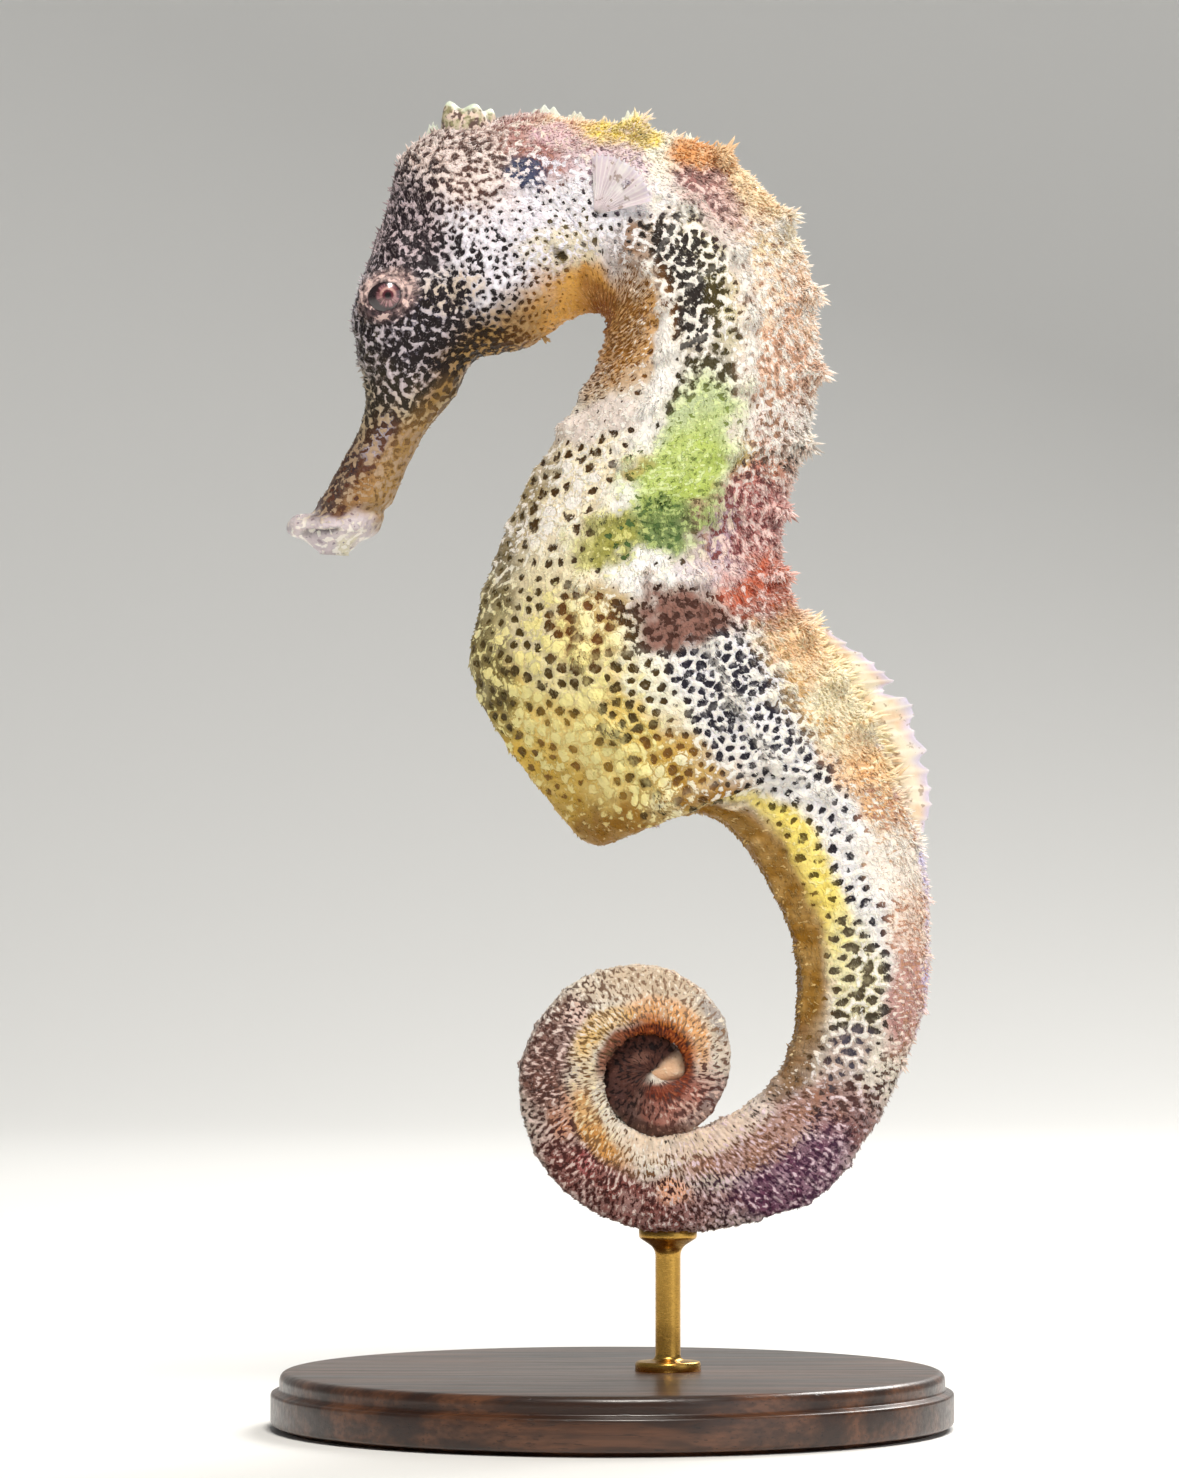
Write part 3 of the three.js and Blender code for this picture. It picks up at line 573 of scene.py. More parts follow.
# A wash is a soft-edged oval on the unrolled body. Each row gives its name, ring, height, reach in rings,
# reach in height, colour or value, and its strength where that isn't 1. Later washes lie on top.
GROUND = "#e9dfcf"
# The dark browns of the coil's inner turn, at rings 41.5 to 43.5, are partly its own colour and partly
# painted shade inside the coil; the inner shade wash at ring 39.7 is painted shade between the turns.
# The dark olive along the belly's underside, at ring 8.2, is partly its own colour and partly painted shade
# underneath.
# The dark rust band along the throat's underside, at ring 0.8, is partly its own colour and partly painted
# shade under the head.
# The grey wash on the top of the coil, at ring 34.3, is painted shade.
# The lilac-white wash on the side of the snout, at ring -6.1, is a painted highlight.
GROUND_WASHES = table("""
head -2.2 0 3.4 2 #ece4ea
face -4.6 .2 1.2 1.6 #4e4653 .97
face_olive -5 .9 .7 .5 #564e22 .8
snout_root -5.7 0 .75 2 #5a4936 .97
snout -6.9 0 1 2.2 #704a2c
snout_back -6.6 .95 1.5 .6 #241a2a .97
snout_side -6.1 .25 .35 .35 #b7afbd .85
snout_belly -6.6 -.75 1.2 .7 #b08a4e .9
snout_gold -7 -.1 .4 .35 #a87c46 .7
lips -8 0 .62 3 #cfc2c6
lower_jaw -8.15 -.6 .3 .5 #e0d8b4 .9
chin -4.6 -.66 1 .52 #5a4018 .95
jaw -3.3 -.85 .9 .4 #8a6430 .95
cheek -3.7 0 .35 .22 #5c4a44 .8
cheek_blue -4 .12 .4 .2 #6c6880 .8
throat -.8 -.88 2.4 .46 #e8ae54
deep_throat .8 -1 2.6 .36 #7c3800 .95
forehead -3 .8 .9 .62 #443438 .97
crown -1.7 .75 .9 .6 #d6bbb0 .95
blue_cheek -1.05 .42 .32 .2 #465070 .95
nape -.65 .72 .5 .5 #ae706a .95
nape_orange -.05 .9 .5 .26 #f2caa2 .95
nape_lilac -.42 .78 .28 .14 #f4d2e4 .75
nape_yellow .4 .86 .4 .2 #ffe76a .98
behind_the_fin .3 .5 .8 .32 #e4ccd8 .85
white_cheek -.1 .05 1.1 .4 #f3eef0 .85
gill_cream -.9 -.35 1.2 .24 #e6d8b4 .9
neck_band .9 .7 .2 .5 #fffbe8 .9
neck_orange 1.5 .84 .55 .32 #e39a50 .97
neck_yellow 2.1 .9 .4 .2 #fff4cc .85
neck_mauve 1.75 .56 .7 .22 #a06a6c .9
neck_tan 1.2 -.17 .85 .32 #8c6238 .9
shoulder_net 2.6 .05 1.5 .36 #ddd0bd .95
olive_net 2.8 .24 1.1 .16 #c8bc84 .8
shoulder 3.3 .75 1.3 .42 #f9dfc2 .95
shoulder_edge 3 1 1.4 .2 #fff0cc .8
upper_back 4.5 .74 .9 .36 #e9b594 .95
back_band 5.2 .7 .35 .5 #fff6f0 .85
rust 5.9 .66 .6 .34 #d08765 .95
ochre 5.6 .52 .35 .14 #d8b95c .8
dark_olive 4.25 .1 .5 .34 #746a54 .95
green 4.9 .1 .55 .36 #c4d0a0 .95
moss 5.8 .12 .8 .42 #b9ca66
dark_moss 6.65 .18 .5 .36 #647c40 .95
moss_foot 6.8 -.26 .55 .26 #95902a .95
moss_ochre 5.5 -.28 .35 .16 #b8963c .8
under_the_moss 4.3 -.3 1.2 .15 #f6f1e8 .95
white_knob 6.15 -.28 .32 .2 #faf7f2
throat_stripes 2.6 -.62 1.5 .4 #cf9a52 .95
chest 5.6 -.66 1.5 .36 #fff0cc
chest_knob 4.5 -.75 .5 .45 #f0e2da .95
breast_edge 6.6 -1 2 .24 #a08c5e .9
maroon 6.6 .74 .8 .4 #cd8580 .95
lilac 6.9 .5 .5 .13 #b29cb0 .85
bright_line 7.4 .5 .3 .26 #dfd4da .95
red 7.65 .84 .5 .34 #d4704e
red_edge 8.15 .75 .4 .35 #a86a5c .85
bright_knob 7.45 0 .36 .3 #fffdfa
belly 9.2 -.52 1.9 .62 #e6c568
belly_cream 8.5 -.4 .7 .3 #f2e4b4 .9
honeycomb 9.9 -.66 .9 .28 #f6da88 .9
breast 7.7 -.62 .9 .4 #eadcb8 .9
flank_tan 8 -.25 .6 .26 #c4a25c .9
flank_pale 9.1 0 1 .16 #fffbe4 .95
flank_gold 10.2 -.06 .7 .2 #c89a30 .85
white_flank 9.7 .44 1.7 .36 #f6f3f8
brown 8.05 .28 .4 .32 #8c6458 .97
rump_brown 8.35 .92 .35 .18 #d79c70 .9
rump_orange 9 .86 .6 .24 #ffd2a4 .97
rump 10.2 .92 1.2 .34 #fff6dc .97
belly_edge 8.2 -1 1.5 .22 #6c5c2e .95
keel 10.2 -.95 1.1 .26 #f2c850 .95
keel_end 10.75 -.6 .45 .75 #a06c00 .95
tail_yellow 13.2 -.3 2.3 .3 #ffe878
tail_gold 13.5 -.9 3.6 .46 #8c6010
tail_white 12.9 .22 2.4 .36 #f6f3f4
tail_cream 15 -.1 1.2 .42 #efe6b8 .95
tail_lilac 16.6 0 .9 .4 #bfa89c .95
tail_orange 11.6 .78 .9 .34 #f2bd80 .95
tail_pale 12.9 .72 .7 .45 #fff6ea .95
tail_peach 14.1 .72 .8 .36 #ffe6d2 .95
tail_pink 15.2 .72 1 .4 #bd8480 .95
tail_edge 14 1.06 3.2 .16 #d8d0fa .95
tail_brown 17.7 .1 .6 1.1 #9a685a .95
bend_back 19.4 .55 1.8 .62 #74405c
bend_side 19.3 -.25 2.4 .34 #ab7a60 .95
bend_gold 16.9 -.78 1.2 .4 #86623c .95
bend_belly 21.2 -.8 3.2 .36 #e6ceb4 .95
coil_foot 23.4 .5 2.7 .75 #8f5048
coil_foot_peach 21.8 .1 .5 .3 #ffb88c .85
coil_foot_red 24.4 .22 .35 .2 #b04a4c .8
coil_foot_side 25 -.32 2 .34 #d09040 .97
coil_grey_side 27.2 -.6 .8 .28 #e0cdb0 .9
coil_tan 26.2 .15 .9 .32 #cf885c .95
coil_front 27.9 .5 2 .66 #7f574c
coil_front_pink 29.2 .35 .4 .3 #f8d4c8 .9
coil_yellow 29.6 -.3 1.9 .36 #eec47c .95
coil_rim 29.2 -.95 2.4 .26 #7a4028 .95
coil_top 32.4 .6 3.2 .6 #d4bea4
coil_top_grey 34.3 .75 1 .35 #aaa4a4 .8
coil_top_side 33.4 -.2 2.8 .44 #f0ac68 .97
coil_top_belly 33.6 -.88 4.2 .44 #84380f
coil_top_ember 33 -.5 2.6 .16 #c9772e .9
coil_back 38.6 -.1 2.4 1.2 #a8695a
coil_back_edge 37.4 .75 1.3 .4 #857370 .95
coil_back_belly 38.4 -.9 2.8 .5 #74280f .95
inner_turn 43.5 0 4 3 #4a2820
inner_shade 39.7 .85 1.5 .36 #43261c .9
inner_light 44 -.5 .7 .5 #7c5648 .9
inner_top 41.5 .6 1.4 .5 #442c2c .7
tip 47.4 0 1.2 3 #e8be9a
side_line 3.4 .45 2.9 .07 #e6dace .95
lower_line 3.9 -.32 1.6 .075 #fbf7f2 .97
neck_ochre 2.75 .7 .3 .14 #f2dcb0 .8
neck_peach 3.6 .92 .5 .2 #f8ccac .8
gill_spot -1.3 -.38 .2 .07 #5c4e28
""")
DARK = "#3a2f26"
# The dark along the belly's underside, at ring 7.8, is partly painted shade underneath.
# The near-black of the inner turn, at ring 43.5, is partly painted shade inside the coil.
DARK_WASHES = table("""
head -2.2 0 3.3 2 #221a1e
face -4.5 .1 1.1 1.2 #1c1214
snout_root -5.6 0 .6 2.2 #2d2519
snout -6.9 0 1.1 2.2 #5c3a2c
snout_belly -6.5 -.75 1.4 .6 #805f34 .9
lips -8 0 .6 3 #a3949c
jaw -3.8 -.8 1.2 .4 #281a0c .95
throat -.4 -.9 3.2 .45 #96601c
crown -1.7 .7 1.1 .55 #62463f .95
nape -.4 .75 .7 .5 #c08878 .9
behind_the_fin .4 .45 .8 .35 #8f7c90 .9
gill -.8 -.3 1.1 .3 #6a5a38 .9
neck_orange 1.6 .88 .8 .25 #bc7034 .9
neck_mauve 1.8 .55 .8 .24 #85625e .9
shoulder_net 2.5 .05 1.4 .36 #2e2724 .97
olive_net 3.3 .22 1 .16 #4f4420 .85
back 3.9 .75 1.7 .4 #c09478 .95
dark_olive 4.3 .1 .5 .34 #463f24 .9
moss 5.6 .12 1.1 .4 #85954a
dark_moss 6.65 .1 .6 .46 #4e6836
throat_stripes 2.4 -.6 1.8 .42 #84531a .95
chest 5.8 -.62 1.6 .4 #4a3214 .95
maroon 6.7 .74 .9 .42 #8a4c4c .95
red 7.75 .82 .5 .34 #b04a30 .95
belly 9.1 -.5 1.9 .65 #4f3c14
rust 8 -.3 .7 .24 #6d431a .9
flank_gold 10.1 -.15 .6 .22 #80561e .9
domes 9.9 -.7 .8 .3 #a47f30 .9
white_flank 9.7 .42 1.7 .4 #211d2b
brown 8.05 .3 .45 .34 #4a2a20 .97
rump 9.9 .95 1.9 .36 #f0c890 .97
keel 10.5 -.95 1.2 .35 #94641f .9
tail_yellow 12.6 -.28 1.6 .32 #6b5a1c .95
tail_gold 13.6 -.85 3.6 .46 #7d5a1c
tail_white 13.2 .22 2.4 .36 #25212c .97
tail_cream 15 -.1 1.1 .42 #5b4f38 .95
tail_lilac 16.6 0 .8 .4 #4c4753 .95
tail_back 13.6 .8 2.8 .42 #d09c80 .95
tail_brown 17.4 .55 .7 .6 #4f3028 .95
bend 19.5 .4 2 .8 #43203a
bend_side 19.6 -.4 3 .36 #76503e .95
coil_foot 23.8 .4 2.9 .9 #4a221e
coil_side 24.8 -.5 3.2 .46 #86603a .95
coil_front 28.4 .4 2.3 .9 #4c302a
coil_yellow 29.4 -.4 2 .5 #7a5a30
coil_top 33.2 0 3.4 2 #8e7058
coil_top_belly 33 -.9 3.9 .45 #43180c
coil_back 38 0 2.8 2 #5a3630
inner_turn 43.5 0 4.2 3 #1f0c0a
tip 47.4 0 1.2 3 #d09c74
forehead -3 .8 .9 .6 #241a20 .9
blue_cheek -1.05 .42 .32 .2 #3a4462 .95
belly_edge 7.8 -1 2.2 .26 #55441f .9
gill_spot -1.3 -.38 .2 .07 #40341a
shoulder_edge 3 1 1.5 .22 #dcb894 .9
tail_pale 12.9 .72 .7 .45 #d9b394 .9
""")
PALE = "#fbf5ec"
# The darkened pale colours of the inner turn, at ring 43.5, and of the inner shade, at ring 39.7, are partly
# painted shade inside the coil.
PALE_WASHES = table("""
head -2.4 0 3.6 2 #f6f2fa
forehead -3 .8 .9 .6 #cdb9bd .95
crown -1.7 .75 .9 .6 #f6e6df .95
snout_root -5.6 0 .6 2.2 #cdbb9c
snout -6.7 0 1 2.2 #a48460 .9
chin -4.6 -.62 1.2 .5 #a47e40 .95
throat -.2 -.88 3 .45 #dca040 .9
nape .2 .85 1.2 .4 #f8e2c8 .8
moss 5.7 .1 1.6 .42 #dfeba8
maroon 7 .8 1.2 .42 #f3d3cc .9
brown 8.05 .3 .5 .34 #8a5c4e .97
belly 9.2 -.6 2 .6 #f8ea9c .95
tail_yellow 13.2 -.3 2 .28 #fff0a0 .95
tail_gold 13.6 -.88 3.6 .46 #d8b264 .9
tail_back 15 .85 2.4 .42 #f6e2d4 .9
bend 19.6 .2 2.8 1.6 #ead0d8
coil 25.5 .3 4 1 #e8cfc6
coil_gold 26.2 -.5 3 .5 #f0dfb4 .95
coil_top 33 0 3.4 2 #f6ead8
coil_back 38 0 2.8 2 #dcbcae
inner_turn 43.5 0 4.2 3 #6e463a
tip 47.4 0 1.2 3 #f6dcc0
face -4.6 .3 1 .9 #cfc2c8 .9
jaw -3.6 -.85 1.4 .45 #b8935c .95
cheek -3.5 0 .5 .3 #d8c4b0 .9
rump 9.9 .95 1.9 .36 #fff0c4 .9
neck_orange 1.6 .86 .7 .3 #f6cfa0 .9
neck_mauve 1.75 .56 .7 .22 #f0d0c8 .9
dark_moss 6.6 .15 .6 .42 #b4c47a .95
moss_foot 6.8 -.26 .6 .3 #dcd684 .9
coil_rim 29.2 -.95 2.4 .26 #b0785c .95
inner_shade 39.7 .85 1.5 .36 #80584a .9
coil_top_belly 33.6 -.88 4.2 .44 #bc682e
coil_back_belly 38.4 -.9 2.8 .5 #a0583a
gill_spot -1.3 -.38 .2 .07 #7a683c
""")
# Share of each marking cell that its dark spot fills.
COVER_WASHES = table("""
head -2.3 -.1 1.9 .8 .55
forehead -3.1 .75 .9 .55 .86
face -4.5 .2 1 1 .9
chin -4.2 -.8 1 .4 .85
snout_root -5.6 0 .6 2 .8
snout -7 0 1 2.4 .4
lips -8.1 0 .95 3 0
crown -1.6 .7 .9 .6 .6
cheek_rear -1.2 -.1 .9 .5 .3
throat -.4 -.9 3 .4 .22
nape 0 .8 1 .45 .1
neck_orange 1.4 .9 .8 .25 .2
fin_root .3 .3 .7 .4 .36
neck 1.8 .55 .7 .3 .56
shoulder_net 2.4 .02 1.4 .34 .9
shoulder 3.2 .75 1.3 .4 .24
upper_back 4.6 .72 .9 .36 .42
dark_olive 4.2 .1 .6 .34 .62
moss 5.4 .1 .8 .4 .22
dark_moss 6.6 .12 .7 .46 .4
under_the_moss 4.4 -.33 1.4 .15 .2
throat_stripes 2.4 -.62 1.6 .38 .52
chest 5.8 -.62 1.4 .36 .6
chest_knob 4.5 -.8 .4 .4 .15
maroon 6.6 .76 .9 .4 .45
red 7.65 .84 .5 .34 .25
brown 8.1 .28 .45 .36 .6
belly 9.2 -.45 1.9 .56 .68
flank_tan 8.1 -.25 .7 .3 .74
domes 10 -.7 .7 .3 .6
bright_line 7.35 .5 .28 .24 .1
bright_knob 7.45 0 .36 .3 0
white_knob 6.15 -.28 .3 .18 0
white_flank 9.7 .44 1.6 .36 .74
black_flank 8.9 .36 .7 .24 .78 .8
rump 9.9 .95 1.9 .2 .2
loin 11.1 .28 .7 .32 .76
keel 10.8 -.9 .7 .4 .25
tail 13.2 .05 2.6 .5 .52
tail_net 15.6 -.05 1.6 .45 .72
tail_gold 13.6 -.9 3.6 .38 .12
tail_back 14 .8 3 .4 .4
tail_brown 17.4 .5 .7 .6 .6
bend 19.8 .35 2.4 .9 .48
bend_side 19.3 -.35 2.4 .34 .4
bend_belly 21.2 -.9 3.2 .34 .2
coil_foot 24 .4 3 .9 .46
coil_front 28 .5 1.8 .7 .46
coil_side 26.5 -.6 2.6 .4 .34
coil_yellow 29.4 -.3 1.3 .5 .38
coil_top 33.4 .3 2.6 1.4 .3
coil_top_belly 33.4 -.9 3.6 .4 .4
coil_back 37.6 0 1.8 2 .4
inner_turn 43.1 0 3.6 3 .45
tip 47.4 0 1.2 3 .1
side_line 3.4 .45 2.9 .085 .2
lower_line 3.9 -.32 1.6 .085 .05
cheek -3.7 0 .35 .22 .85
blue_cheek -1.05 .42 .28 .17 .85
tail_pale 12.9 .72 .7 .4 .2
neck_band .9 .7 .2 .5 .05
flank_pale 9.1 0 .9 .14 .58
gill_spot -1.3 -.38 .2 .07 .9
""")
# Share of the surface that the pale lines between the spots cover.
NET = 0.12
NET_WASHES = table("""
head -2.3 0 1.9 1.2 .15
forehead -3.1 .75 .9 .5 .06
face -4.5 .2 1 1.2 .05
snout_root -5.6 0 .6 2 .1
snout -6.9 0 .9 2 .07
throat -.4 -.95 3 .4 .16
neck 1.8 .6 1 .4 .22
shoulder_net 2.4 .02 1.4 .34 .16
back 4 .75 2 .4 .26
moss 5.7 .1 1.6 .4 .2
maroon 6.6 .76 .9 .45 .26
red 7.7 .84 .5 .34 .06
belly 9.2 -.5 1.9 .6 .06
domes 9.9 -.7 .9 .3 .06
tail_yellow 13 -.3 1.9 .26 .05
tail_gold 13.6 -.9 3.6 .38 .1
tail_back 14 .8 3 .4 .3
bend 19.8 .2 3 1.2 .2
coil_foot 24.5 .2 3 1.2 .2
coil_front 28 .5 1.8 .7 .2
coil_yellow 29.4 -.3 1.3 .5 .2
coil_top 33.4 0 2.8 2 .16
coil_back 37.6 0 2 2 .2
inner_turn 42.8 0 3 3 .1
nape .2 .85 1.6 .35 .06
moss_foot 6.8 -.26 .55 .26 .05
jaw -3.6 -.85 1.4 .4 .06
lips -8.1 0 .8 3 .03
""")
# How ragged the spots' edges are, up to a maze of short worms.
RAGGED = 0.25
RAGGED_WASHES = table("""
head -2.6 0 3.6 2 .5
crown -1.7 .7 1.2 .6 .7
forehead -3.2 .75 1.2 .6 .7
snout -6.9 0 1.4 2.4 .8
back 3.9 .75 3.4 .42 .8
shoulder_net 2.4 0 1.4 .34 .6
moss 5.6 .1 1.7 .4 .9
maroon 7.2 .8 1.6 .42 .8
brown 8.1 .3 .5 .4 .9
rust 8 -.3 .7 .24 .4
belly 9.2 -.6 2 .5 .16
white_flank 9.8 .42 1.6 .36 .26
""")
# Share of the cells that hold a pale dome in place of a dark spot.
DOME_WASHES = table("""
belly 9.3 -.55 1.9 .5 .34
keel 10 -.7 .8 .3 .55
chest 6.4 -.6 1.5 .34 .25
white_flank 9.7 .44 1.6 .36 .1
""")
# Where short strokes across the body take the place of spots.
STROKE_WASHES = table("""
throat 1.2 -.85 3.2 .52 .95
back 4 .8 4.5 .36 .35
rump 9.8 .95 2.2 .26 .8
tail_back 14 .8 3.4 .42 .85
tail_gold 13.8 -.9 4 .4 .8
bend 20 0 2.9 3 .8
coil 31 0 10 3 .95
inner_turn 44 0 5 3 .8
moss 5.7 .1 1.3 .42 .6
""")
# Distance between neighbouring spots.
SPOT_GAP = 1.0
GAP_WASHES = table("""
head -2.4 0 3.4 2 .56
snout -6.6 0 1.5 2.2 .55
neck 1.6 0 2.2 2 .72
back 4.5 .8 3 .5 .75
chest 5.9 -.7 1.8 .5 1.1
belly 9 -.5 1.9 .66 .88
white_flank 10.1 .42 2 .44 .66
tail 14.2 0 3 2 .98
coil 30 0 14 2 .72
""")

BEAD_SPREAD = 0.26  # how much more of its cell a pale dome fills than a dark spot
SKIN_SWELL = 0.07  # how far the skin swells between its spots
DOME_RISE = 0.13  # how far a pale dome rises above that
SPOT_SINK = 0.15  # and a dark spot sinks below it
LIPS_END = -7.2  # the lips' ring, up to which the skin stays smooth
EYE = eye_centre("eye_left")
LID_COLOURS = {"ground": ("#5e4248", 0.9), "dark": ("#281a22", 1), "pale": ("#f3d4cc", 1)}  # with strengths


def washed(ring, height, start, washes, read=lambda value: value):
    """A field over the skin: a starting value with washes laid over it."""
    value = np.ones((*ring.shape, 1)) * read(start)
    for _, at_ring, at_height, ring_reach, height_reach, paint, *strength in washes:
        away = np.hypot((ring - at_ring) / ring_reach, (height - at_height) / height_reach)
        cover = (*strength, 1)[0] * smoothstep(1.25, 0.6, away)[..., None]
        value = value + (read(paint) - value) * cover
    return value if value.shape[-1] > 1 else value[..., 0]


class Markings:
    """Colours and spots at every point of the skin. All its attributes become fields of the pieces."""

    def __init__(self, body, points):
        # The washes are laid over wavering rings and heights, so that their edges are uneven.
        grain = 0.10 * noise(points, 0.55, 3)
        ring = body.ring + 0.22 * noise(points, 3.1) + 0.13 * noise(points, 1.2, 3) + grain
        height = body.height + 0.07 * noise(points, 2.6, 9) + 0.05 * noise(points, 1.1, 5) + 0.4 * grain
        self.ground = washed(ring, height, GROUND, GROUND_WASHES, linear)
        self.dark = washed(ring, height, DARK, DARK_WASHES, linear)
        self.pale = washed(ring, height, PALE, PALE_WASHES, linear)
        self.cover = washed(ring, height, 0.4, COVER_WASHES)
        self.net = washed(ring, height, NET, NET_WASHES)
        self.ragged = washed(ring, height, RAGGED, RAGGED_WASHES)
        self.strokes = washed(ring, height, 0.0, STROKE_WASHES)
        self.domes = washed(ring, height, 0.0, DOME_WASHES)
        gap = washed(body.ring, body.height, SPOT_GAP, GAP_WASHES)
        stretch = 0.4 + 1.4 * smoothstep(11.5, 14, body.ring)
        self.cell, self.cell_kind = spot_fields(points, gap, stretch)

    def paint_face(self, lids, slit):
        """Mauve lids with few spots, and painted shade darkening the groove between the jaws."""
        for name, (code, strength) in LID_COLOURS.items():
            colours = getattr(self, name)
            colours += (linear(code) - colours) * (strength * lids)[..., None]
        self.cover *= 1 - 0.4 * lids
        self.net *= 1 - 0.8 * lids
        # painted shade: the ground is darkened along the groove between the jaws
        self.ground *= (1 - 0.75 * np.clip(slit * 1.3, 0, 1))[..., None]

    def lighten_raised(self, points, lids, ridges):
        """Paler knobs and ridges, partly their own pale colour and partly painted highlight on raised parts,
        and pale wrinkles on the lids, most of all above the eye.
        """
        above_eye = smoothstep(-1.2, 0.8, points[..., 2] - EYE[2])
        wrinkles = 0.5 + 0.5 * lid_wrinkles(near_eye(points))
        # painted highlight: raised ridges and knobs are mixed towards the pale colour, partly their own pale
        # and partly standing in for light on them
        lift = np.clip((ridges - 0.10) / 0.35, 0, 1) * (1 - 0.85 * smoothstep(11, 18, body.ring))
        self.lift = np.maximum(lift, lids * wrinkles * (0.15 + 0.75 * above_eye))

    def embossed(self, points, lids):
        """The skin's points with the dark spots sunk a little and the pale domes raised."""
        bead = self.cell_kind < self.domes
        spot = smoothstep(0.15, -0.15, self.cell - self.cover - BEAD_SPREAD * bead)
        spot = spot * (1 - self.strokes) * (1 - 0.7 * self.ragged)
        size = np.clip(body.half_depth / 4, 0.2, 1)
        swell = size * (SKIN_SWELL + np.where(bead, DOME_RISE, -SPOT_SINK) * spot)
        return points + outward * (swell * (1 - lids) * (body.ring > LIPS_END))[..., None]


def spaced(points, gaps):
    """Indices of the points picked in turn so that none lies within its gap of one picked before."""
    size = float(gaps.max())
    cells = {}
    picked = []
    around = list(itertools.product((-1, 0, 1), repeat=3))
    keys = np.floor(points / size).astype(int).tolist()
    for i, ((x, y, z), point, gap) in enumerate(zip(keys, points.tolist(), (gaps**2).tolist())):
        near = (other for dx, dy, dz in around for other in cells.get((x + dx, y + dy, z + dz), ()))
        if any((point[0] - p[0]) ** 2 + (point[1] - p[1]) ** 2 + (point[2] - p[2]) ** 2 < gap for p in near):
            continue
        cells.setdefault((x, y, z), []).append(point)
        picked.append(i)
    return picked


def quad_areas(points):
    """Area of each quad of the skin's grid."""
    a, b = points[:-1], points[1:]
    return np.linalg.norm(np.cross(b - a, np.roll(a, -1, 1) - a), axis=2)


def sample(rng, weights, count):
    """Random places on the skin as [loop, round] positions, spread by the weights of its quads."""
    total = np.cumsum(weights.ravel())
    picks = np.searchsorted(total, rng.uniform(0, total[-1], count))
    return np.stack(np.divmod(picks, ROUND), 1) + rng.uniform(0, 1, (count, 2))


def at(field, spots):
    """A field of the skin's grid at [loop, round] positions."""
    i, j = np.floor(spots).astype(int).T
    s, t = (spots - np.floor(spots)).T
    if field.ndim == 3:
        s, t = s[:, None], t[:, None]
    beside = (j + 1) % ROUND
    return ((field[i, j] * (1 - s) + field[i + 1, j] * s) * (1 - t)
            + (field[i, beside] * (1 - s) + field[i + 1, beside] * s) * t)


SITE_CANDIDATES = 150000
RELAXING = 4  # rounds of pushing spots apart
NEIGHBOURS = 6  # that push each spot
PUSH = 0.28
PUSH_REACH = 1.15  # in gaps


def point_tree(points):
    """A tree that finds the nearest of the points."""
    tree = kdtree.KDTree(len(points))
    for i, place in enumerate(points):
        tree.insert(place, i)
    tree.balance()
    return tree


def settled(sites, gaps, tree):
    """Sites pushed apart from their neighbours until they sit in even rows on the skin."""
    for _ in range(RELAXING):
        near = point_tree(sites)
        found = [near.find_n(site, NEIGHBOURS + 1) for site in sites]
        others = np.array([[index for _, index, _ in row][1:] for row in found])
        apart = sites[:, None] - sites[others]
        distance = np.linalg.norm(apart, axis=2, keepdims=True)
        push = apart / distance * np.clip(PUSH_REACH * gaps[:, None, None] - distance, 0, None)
        moved = sites + PUSH * push.sum(axis=1)
        sites = np.array([tree.find(place)[0] for place in moved])
    return sites


def spot_fields(points, gap, stretch):
    """For every point, 0 at its spot's middle to 1 at the border of its cell, and a random number a cell."""
    rng = np.random.default_rng(11)
    spots = sample(rng, quad_areas(points) / gap[:-1] ** 2, SITE_CANDIDATES)
    where = at(points, spots)
    gaps = at(gap, spots)
    chosen = spaced(where, gaps)
    flat = points.reshape(-1, 3)
    where = settled(where[chosen], gaps[chosen], point_tree(flat))
    tree = point_tree(where)
    nearest = np.array([[index for _, index, _ in tree.find_n(point, 5)] for point in flat])
    away = where[nearest] - flat[:, None]
    lengthwise = np.sum(away * along.reshape(-1, 1, 3), axis=2)
    away = np.sqrt(np.sum(away**2, axis=2) + lengthwise**2 * stretch.reshape(-1, 1))
    order = np.argsort(away, axis=1)
    first, second = (np.take_along_axis(away, order[:, k : k + 1], 1)[:, 0] for k in (0, 1))
    kind = rng.uniform(0, 1, len(where))[np.take_along_axis(nearest, order[:, :1], 1)[:, 0]]
    return (2 * first / (first + second)).reshape(gap.shape), kind.reshape(gap.shape)


def near_eye(points):
    """Distance from the eye's axis, up to the lids' reach."""
    return np.minimum(eye_offset(points, EYE), LID_REACH)


def lid_share(points):
    """1 on the lids, 0 off them."""
    return smoothstep(2.7, 1.9, near_eye(points)) * smoothstep(1.0, 2.0, np.abs(points[..., 1]))


marks = Markings(body, skin_points)
lids = lid_share(skin_points)
marks.paint_face(lids, slit)
marks.lighten_raised(skin_points, lids, ridges)
skin_points = marks.embossed(skin_points, lids)


# ---- unwraps ----

UNWRAP_SIZE = 122.0  # millimetres across the unwrap
UNWRAP_SPLIT = 100.5  # the body is laid in two strips, parted here
UNWRAP_MARGIN = 3.5
FRONT_STRIP, REAR_STRIP = 0.31, 0.815  # where the strips' back line lies


def unwrap(place, girth, rear):
    """Unwrap position of a place on the skin in the front or the rear strip."""
    u = (place + UNWRAP_MARGIN - np.where(rear, UNWRAP_SPLIT, 0)) / UNWRAP_SIZE
    return np.stack([u, np.where(rear, REAR_STRIP, FRONT_STRIP) + girth / UNWRAP_SIZE], -1)


